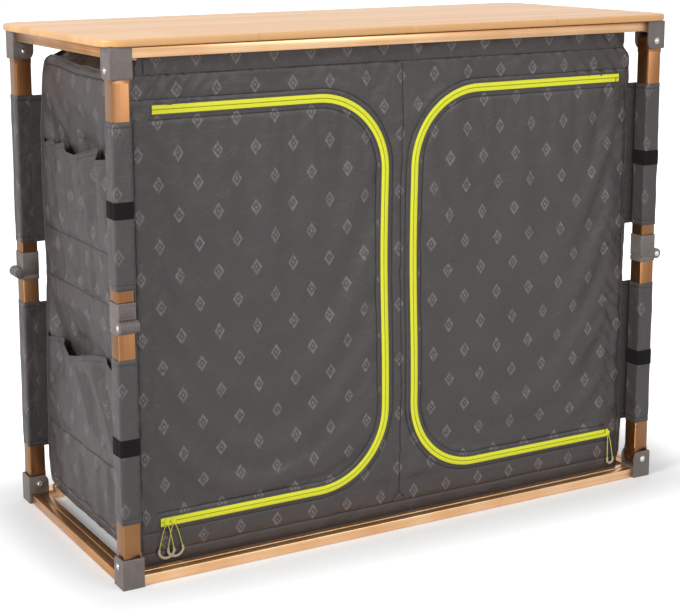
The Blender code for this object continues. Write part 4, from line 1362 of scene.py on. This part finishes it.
def make_board(kind, where):
    """Board in a cloth cover, with eased edges."""
    low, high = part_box(f"{kind}_{where}")
    bm = bmesh.new()
    bmesh.ops.create_cube(bm, size=1.0)
    bmesh.ops.scale(bm, vec=high - low, verts=bm.verts[:])
    bmesh.ops.translate(bm, vec=(low + high) / 2, verts=bm.verts[:])
    bmesh.ops.bevel(bm, geom=bm.edges[:], offset=1.2 * MM, segments=3, affect="EDGES")
    mesh = bpy.data.meshes.new("board")
    bm.to_mesh(mesh)
    bm.free()
    layer = mesh.uv_layers.new(name="cloth")
    for loop in mesh.loops:
        at = mesh.vertices[loop.vertex_index].co
        layer.data[loop.index].uv = (at.x, at.y)
    board = smooth(linked(f"{kind}_cover_{where}", mesh, "plain_cloth"), 30)
    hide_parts(f"{kind}_{where}")
    fold_flat(board, "base_frame")


# Leg sleeves, the webs that tie them to the body, and their straps

SLEEVE_HALF = 15.1 * MM
SLEEVE_CORNER = 3.2 * MM


def rounded_square(half, corner, steps):
    outline = []
    for a, b, start in ((1, 1, 0), (-1, 1, 90), (-1, -1, 180), (1, -1, 270)):
        outline += arc((a * (half - corner), b * (half - corner)), corner, start, start + 90, steps)
    return outline


def sleeve_levels(tall):
    hems = [h + d for h in (HEM, tall - HEM) for d in (-SEAM_WIDTH, 0.0, SEAM_WIDTH)]
    rows = np.linspace(0, tall, round(tall / (5 * MM)) + 1)
    return sorted([z for z in rows if min(abs(z - h) for h in hems) > 1.5 * MM] + hems)


def make_sleeve(part, corner, strap):
    """A leg's cloth sleeve: a tight square tube with hems, small dents and long creases."""
    node = f"{part}_sleeve_{corner}"
    body = f"{part}_leg_{corner}"
    low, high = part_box(node)
    leg = ((low.x + high.x) / 2, (low.y + high.y) / 2)
    ring = rounded_square(SLEEVE_HALF, SLEEVE_CORNER, 3)
    ring = spaced(ring + ring[:1], 3.5 * MM)[:-1]
    steps = [math.dist(a, b) for a, b in zip(ring, ring[1:] + ring[:1])]
    around = np.concatenate([[0.0], np.cumsum(steps)])
    tall = high.z - low.z
    levels = sleeve_levels(tall)
    count = len(ring)
    base = np.array([ring[i] for _ in levels for i in range(count)])
    u = np.array([around[i] for _ in levels for i in range(count)])
    v = np.repeat(levels, count)
    deep = (np.minimum(np.abs(v - HEM), np.abs(v - tall + HEM)) < 0.1 * MM).astype(float)
    seed = 31.0 + CORNERS.index(corner) * 3 + (part == "upper")
    flat_on = base / SLEEVE_HALF
    puff = 0.9 * ripple(flat_on[:, 0] * 9 * MM + v * 0.3, flat_on[:, 1] * 9 * MM - v * 0.2, 9 * MM, seed)
    puff = puff + 0.8 * ripple(u, v * 0.3, 14 * MM, seed + 0.5) - 0.5
    if strap:
        puff = puff * np.clip(np.abs(v + low.z - sum(strap) / 2) / (24 * MM), 0.1, 1)
    puff = np.clip(puff + 0.2, -0.5, 0.4) * MM - 0.5 * SEAM_DEPTH * deep
    away = base / np.linalg.norm(base, axis=1)[:, None]
    at = np.column_stack([base + puff[:, None] * away + np.array(leg), low.z + v])
    quads = [
        (r * count + c, r * count + (c + 1) % count, (r + 1) * count + (c + 1) % count, (r + 1) * count + c)
        for r in range(len(levels) - 1)
        for c in range(count)
    ]
    mesh = bpy.data.meshes.new(node)
    mesh.from_pydata([tuple(p) for p in at], [], quads)
    layer = mesh.uv_layers.new(name="cloth")
    shift = (0.043 * CORNERS.index(corner), low.z * 0.7)
    for face in mesh.polygons:
        closing = max(i % count for i in face.vertices) == count - 1
        for loop, i in zip(face.loop_indices, face.vertices):
            wraps = closing and i % count == 0
            layer.data[loop].uv = ((around[-1] if wraps else u[i]) + shift[0], v[i] + shift[1])
    sewn = mesh.attributes.new("seam", "FLOAT", "POINT")
    sewn.data.foreach_set("value", deep.astype(np.float32))
    mesh.shade_smooth()
    sleeve = linked(f"{part}_sleeve_cloth_{corner}", mesh, "side_cloth")
    wall = sleeve.modifiers.new("thickness", "SOLIDIFY")
    wall.thickness = 0.4 * MM
    wall.offset = -1.0
    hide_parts(node)
    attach(sleeve, body)
    if strap:
        make_strap(f"{part}_strap_{corner}", body, leg, strap)
    make_web(f"{part}_web_{corner}", corner, leg, low.z, tall, seed)


def make_web(name, corner, leg, bottom, tall, seed):
    """The strip of cloth between a sleeve and the body's corner, sewn to the body. It stays out of
    the way of its own leg: beside the legs that fold along the sides its outer edge turns forward."""
    side, front = (1 if leg[0] > 0 else -1), (-1 if leg[1] < 0 else 1)
    turned = corner in ("front_left", "back_right")
    start = 0.4679 + (0.0 if turned else 10.5 * MM)
    lip = 9.5 * MM if turned else 0.0
    width = start - 0.4565 + lip
    outline = [(0.0, 0.0), (width, 0.0), (width, tall), (0.0, tall)]
    seams = [[(0.6 * MM, z), (width - 0.6 * MM, z)] for z in (HEM, tall - HEM)]
    flat, triangles, deep = patch(outline, [], seams, 3.5 * MM)
    u, v = flat.T
    depth = 0.1853 - 0.4 * MM * (1 + ripple(u, v * 0.4, 15 * MM, seed)) - 0.5 * SEAM_DEPTH * deep
    across, turn = np.maximum(u - lip, 0), np.maximum(lip - u, 0)
    at = np.stack([side * (start - across), front * (depth + turn), bottom + v], 1)
    faces = wound(flat, triangles, at, (side, front, 0))
    strip = cloth_piece(name, flat, faces, deep, at, "plain_cloth", 0.6 * MM)
    # levels between the brackets of the base and those of the top, which fold_flat does not use
    fold_flat(strip, "base_frame", *((0.0314, 0.037) if name.startswith("upper") else (0.045, 0.036)))


def make_strap(name, body, leg, heights):
    """Hook-and-loop strap round a sleeve, with its end lapped over the outer face."""
    bm = bmesh.new()
    low, high = heights
    middle, edge = (low + high) / 2, 0.4 * MM
    profile = [(-edge, low), (0.3 * MM, low + edge), (edge, middle), (0.3 * MM, high - edge), (-edge, high)]
    rings = []
    for out, z in profile:
        outline = rounded_square(15.6 * MM + out, 3.6 * MM + out, 5)
        rings.append([bm.verts.new((leg[0] + x, leg[1] + y, z)) for x, y in outline])
    count = len(rings[0])
    for first, second in zip(rings, rings[1:] + rings[:1]):
        for k in range(count):
            bm.faces.new((first[k], first[(k + 1) % count], second[(k + 1) % count], second[k]))
    # the lapped end lies on the outer face that stays upright when the leg folds
    reach = 16.2 * MM
    lap = bmesh.ops.create_cube(bm, size=1.0)["verts"]
    if leg[0] < 0:
        bmesh.ops.scale(bm, vec=(1.0 * MM, 15 * MM, high - low - 1.6 * MM), verts=lap)
        bmesh.ops.translate(bm, vec=(leg[0] - reach, leg[1] + 3 * MM, middle), verts=lap)
    else:
        bmesh.ops.scale(bm, vec=(15 * MM, 1.0 * MM, high - low - 1.6 * MM), verts=lap)
        bmesh.ops.translate(bm, vec=(leg[0] + 3 * MM, leg[1] - reach, middle), verts=lap)
    bmesh.ops.recalc_face_normals(bm, faces=bm.faces[:])
    mesh = bpy.data.meshes.new(name)
    bm.to_mesh(mesh)
    bm.free()
    strap = smooth(linked(name, mesh, "webbing"), 40)
    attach(strap, body)


# Hard parts


def dress_hard_parts():
    """Finishes for the frame's own parts, with their edges eased."""
    for name, thing in frame["nodes"].items():
        if thing.hide_render:
            continue
        kind = name.split("_")
        # the finish chosen by direction carries painted light: lit copper on rails along x, painted shade on
        # side rails, battens and legs
        if "rail" in kind:
            finish, slot = ("tube_x_painted_lit" if kind[-1] in ("front", "back") else "tube_y_painted_shade"), "frame_tube"
        elif "batten" in kind:
            finish, slot = "tube_y_painted_shade", "frame_tube"
        elif "tube" in kind:
            finish, slot = "tube_x_painted_lit", "frame_tube"
        elif "leg" in kind:
            finish, slot = "tube_z_painted_deep_shade", "frame_tube"
        else:
            finish, slot = "nylon", "fittings"
        mesh = thing.data
        mesh.materials.clear()
        mesh.materials.append(FINISH[finish])
        mesh.shade_smooth()
        weld = thing.modifiers.new("weld", "WELD")
        weld.merge_threshold = 0.01 * MM
        flat = thing.modifiers.new("flat", "DECIMATE")
        flat.decimate_type = "DISSOLVE"
        flat.angle_limit = math.radians(1)
        ease = thing.modifiers.new("ease", "BEVEL")
        ease.limit_method = "ANGLE"
        ease.angle_limit = math.radians(35)
        ease.width = 0.45 * MM
        ease.segments = 2
        ease.use_clamp_overlap = True
        ease.harden_normals = True
        if "tube" in kind:
            cap = body_high.x - 8 * MM
            mesh.materials.append(FINISH["nylon"])
            for face in mesh.polygons:
                face.material_index = int(abs(face.center.x) > cap)


def rivet_set(name, body, spots, radius, height):
    mesh = bpy.data.meshes.new(name)
    mesh.from_pydata([place for place, _ in spots], [], [])
    facing = mesh.attributes.new("facing", "FLOAT_VECTOR", "POINT")
    facing.data.foreach_set("vector", [c for _, way in spots for c in way])
    values = {"Flange Radius": radius, "Flange Height": height, "Finish": FINISH["steel"]}
    heads = grown(name, mesh, "rivets", values)
    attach(heads, body)


BRACKET_HALF = 17.4 * MM  # from a leg's axis to the outer face of its bracket
ELBOW_HALF = 15.3 * MM


def make_rivets():
    for level, body in (("base", "base_frame"), ("top", "top_frame")):
        spots = []
        for corner in CORNERS:
            low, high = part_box(f"{level}_bracket_{corner}")
            along_x = corner in ("front_left", "back_right")
            sx, sy = (1 if low.x > 0 else -1), (1 if low.y > 0 else -1)
            outer = (sx * LEG_X, sy * LEG_Y)
            height = 0.033 if level == "base" else 0.767
            for way in (-1, 1):
                lift = way * BRACKET_HALF
                if along_x:
                    spots.append(((outer[0] + lift, outer[1], height), (way, 0, 0)))
                else:
                    spots.append(((outer[0], outer[1] + lift, height), (0, way, 0)))
        rivet_set(f"rivets_{level}_frame", body, spots, 5.3 * MM, 2.2 * MM)
    for corner in CORNERS:
        hinge = next(j for j in frame["joints"] if j["name"] == f"elbow_{corner}")
        x, y, z = hinge["pos_m"]
        along_x = corner in ("front_left", "back_right")
        w = (1 if x > 0 else -1) if along_x else (1 if y > 0 else -1)
        reach = w * ELBOW_HALF
        ways = [((x + reach, y, z), (w, 0, 0)) if along_x else ((x, y + reach, z), (0, w, 0))]
        rivet_set(f"rivets_elbow_{corner}", f"upper_leg_{corner}", ways, 4.8 * MM, 2.0 * MM)


MARK = (
    (-1.5 * MM, (11 * MM, 0.5 * MM, 0.9 * MM)),  # the bar: its place along the face, and its size
    (5.2 * MM, (2.6 * MM, 0.9 * MM, 2.6 * MM)),  # the dot
)


def make_marks():
    """Crimped locating marks on the leg tubes: a short bar with a dot at its end, in dark brown that is
    painted shade of the crimps.
    """
    for part, heights in (("lower", (0.070, 0.373)), ("upper", (0.732,))):
        for corner in CORNERS:
            low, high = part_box(f"{part}_leg_{corner}")
            side, front = (1 if low.x > 0 else -1), (1 if low.y > 0 else -1)
            middle, face = side * LEG_X, front * (LEG_Y + 12.6 * MM)
            bm = bmesh.new()
            for height in heights:
                for along, size in MARK:
                    ball = bmesh.ops.create_uvsphere(bm, u_segments=12, v_segments=8, radius=0.5)["verts"]
                    bmesh.ops.scale(bm, vec=size, verts=ball)
                    bmesh.ops.translate(bm, vec=(middle + along, face, height), verts=ball)
            mesh = bpy.data.meshes.new(f"{part}_marks_{corner}")
            bm.to_mesh(mesh)
            bm.free()
            marks = smooth(linked(f"{part}_marks_{corner}", mesh, "crimp"), 60)
            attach(marks, f"{part}_leg_{corner}")


def make_tabletop():
    """Board with a fully rounded edge; its rim is a darker orange than its face, painted shade on the edge.
    """
    low, high = top_low, top_high
    width, depth, tall = high.x - low.x, high.y - low.y, high.z - low.z
    ease, corner = 3.5 * MM, 35 * MM
    steps = 7
    turns = np.linspace(0, math.pi / 2, steps)
    profile = [(ease * (1 - math.sin(t)), ease * (1 - math.cos(t))) for t in turns]
    profile += [(inset, tall - rise) for inset, rise in reversed(profile)]
    bm = bmesh.new()
    rings = []
    for inset, rise in profile:
        outline = []
        radius = corner - inset
        for a, b, start in ((1, 1, 0), (-1, 1, 90), (-1, -1, 180), (1, -1, 270)):
            centre = (a * (width / 2 - corner), b * (depth / 2 - corner))
            outline += arc(centre, radius, start, start + 90, 20)
        rings.append([bm.verts.new((x, y, low.z + rise)) for x, y in outline])
    count = len(rings[0])
    for first, second in zip(rings, rings[1:]):
        for k in range(count):
            face = bm.faces.new((first[k], first[(k + 1) % count], second[(k + 1) % count], second[k]))
            face.material_index = 1
    bm.faces.new(rings[0])
    bm.faces.new(rings[-1])
    bmesh.ops.recalc_face_normals(bm, faces=bm.faces[:])
    mesh = bpy.data.meshes.new("tabletop_board")
    bm.to_mesh(mesh)
    bm.free()
    board = smooth(linked("tabletop_board", mesh, "bamboo", "bamboo_edge"), 30)
    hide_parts("tabletop")
    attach(board, "top_frame")


# Set


def make_camera():
    """The photograph's view: where the lens stood, how it was turned, and how the frame was cropped."""
    yaw, pitch, roll = (math.radians(a) for a in (-28.142, -10.266, -0.486))
    forward = Vector((-math.sin(yaw) * math.cos(pitch), math.cos(yaw) * math.cos(pitch), math.sin(pitch)))
    level = Vector((math.cos(yaw), math.sin(yaw), 0.0))
    upright = level.cross(forward)
    right = math.cos(roll) * level + math.sin(roll) * upright
    up = -math.sin(roll) * level + math.cos(roll) * upright
    data = bpy.data.cameras.new("camera")
    data.lens = 83.32
    data.shift_x = 0.10
    data.shift_y = -0.15
    camera = bpy.data.objects.new("camera", data)
    bpy.context.scene.collection.objects.link(camera)
    turn = Matrix((right, up, -forward)).transposed().to_4x4()
    camera.matrix_world = Matrix.Translation((-1.3338, -2.2479, 0.9752)) @ turn
    bpy.context.scene.camera = camera


def make_floor():
    made = bpy.data.materials.new("studio_floor")
    made.use_nodes = True
    tree = made.node_tree
    tree.nodes.clear()
    paper = add(tree, "ShaderNodeBsdfDiffuse", {"Color": (0.78, 0.79, 0.8, 1.0)})
    rays = add(tree, "ShaderNodeLightPath")
    mirrored = add(
        tree, "ShaderNodeMath", {"operation": "MAXIMUM"},
        {0: rays.outputs["Is Glossy Ray"], 1: rays.outputs["Is Transmission Ray"]},
    )
    dim = add(tree, "ShaderNodeMath", {"operation": "MULTIPLY", 1: 0.25}, {0: mirrored})
    # the glow is dimmed within 0.3 m of the base: painted shade round the base, added to the lamps' own
    # shadow there
    place = add(tree, "ShaderNodeTexCoord")
    folded = add(tree, "ShaderNodeVectorMath", {"operation": "ABSOLUTE"}, {0: place.outputs["Object"]})
    beyond = add(tree, "ShaderNodeVectorMath", {"operation": "SUBTRACT", 1: (0.5, 0.22, 0.0)}, {0: folded})
    clear = add(tree, "ShaderNodeVectorMath", {"operation": "MAXIMUM", 1: (0.0, 0.0, 0.0)}, {0: beyond})
    away = add(tree, "ShaderNodeVectorMath", {"operation": "LENGTH"}, {0: clear})
    lift = add(
        tree, "ShaderNodeMapRange",
        {
            "interpolation_type": "SMOOTHSTEP", "From Min": 0.0, "From Max": 0.3, "To Min": 0.16,
            "To Max": 1.0,
        },
        {"Value": away.outputs["Value"]},
    )
    strength = add(
        tree, "ShaderNodeMath", {"operation": "MULTIPLY_ADD"},
        {0: rays.outputs["Is Camera Ray"], 1: lift, 2: dim},
    )
    glow = add(tree, "ShaderNodeEmission", {"Color": (1.0, 1.0, 1.0, 1.0)}, {"Strength": strength})
    total = add(tree, "ShaderNodeAddShader", links={0: paper, 1: glow})
    add(tree, "ShaderNodeOutputMaterial", links={"Surface": total})
    mesh = bpy.data.meshes.new("floor")
    reach = 14.0
    corners = [(-reach, -reach, 0), (reach, -reach, 0), (reach, reach, 0), (-reach, reach, 0)]
    mesh.from_pydata(corners, [], [(0, 1, 2, 3)])
    floor = bpy.data.objects.new("floor", mesh)
    mesh.materials.append(made)
    bpy.context.scene.collection.objects.link(floor)


def make_light():
    world = bpy.data.worlds.new("studio")
    bpy.context.scene.world = world
    world.use_nodes = True
    tree = world.node_tree
    tree.nodes.clear()
    rays = add(tree, "ShaderNodeLightPath")
    seen = add(
        tree, "ShaderNodeMath", {"operation": "MAXIMUM"},
        {0: rays.outputs["Is Camera Ray"], 1: rays.outputs["Is Glossy Ray"]},
    )
    shown = add(
        tree, "ShaderNodeMath", {"operation": "MAXIMUM"}, {0: seen, 1: rays.outputs["Is Transmission Ray"]}
    )
    strength = add(tree, "ShaderNodeMapRange", {"To Min": 0.46, "To Max": 1.0}, {"Value": shown})
    sky = add(tree, "ShaderNodeBackground", {"Color": (1.0, 1.0, 1.0, 1.0)}, {"Strength": strength})
    add(tree, "ShaderNodeOutputWorld", links={"Surface": sky})
    lamps = {
        "key": ((-3.2, -0.9, 1.8), (0.0, 0.0, 0.4), 1.0, 74.0),
        "front": ((0.8, -3.2, 2.0), (0.1, 0.0, 0.45), 2.0, 34.0),
        "top": ((0.2, 0.3, 3.2), (0.0, 0.0, 0.8), 2.0, 22.0),
    }
    for name, (place, aim, size, power) in lamps.items():
        data = bpy.data.lights.new(name, "AREA")
        data.shape = "SQUARE"
        data.size = size
        data.energy = power
        lamp = bpy.data.objects.new(name, data)
        bpy.context.scene.collection.objects.link(lamp)
        lamp.location = place
        lamp.rotation_mode = "QUATERNION"
        lamp.rotation_quaternion = (Vector(aim) - Vector(place)).to_track_quat("-Z", "Y")
    bpy.context.scene.view_settings.view_transform = "Standard"


UPPER_STRAP = (0.556, 0.581)
LOWER_STRAP = (0.204, 0.230)


def main():
    make_camera()
    make_front()
    for where, side in SIDES.items():
        make_zip(where, side)
        make_side(where, side)
    make_slider("zip_slider_left_1", -3.5 * MM, -1 * MM, 13 * MM, 1.45 * MM)
    make_slider("zip_slider_left_2", -10 * MM, 3 * MM, 13 * MM, 0.6 * MM)
    make_slider("zip_slider_right", 3.5 * MM, 7 * MM, 6.5 * MM, 1.4 * MM)
    make_back()
    make_inside()
    for corner in CORNERS:
        front = corner.startswith("front")
        make_sleeve("lower", corner, LOWER_STRAP if front else None)
        make_sleeve("upper", corner, UPPER_STRAP if front else None)
    make_tabletop()
    dress_hard_parts()
    make_rivets()
    make_marks()
    make_floor()
    make_light()


main()
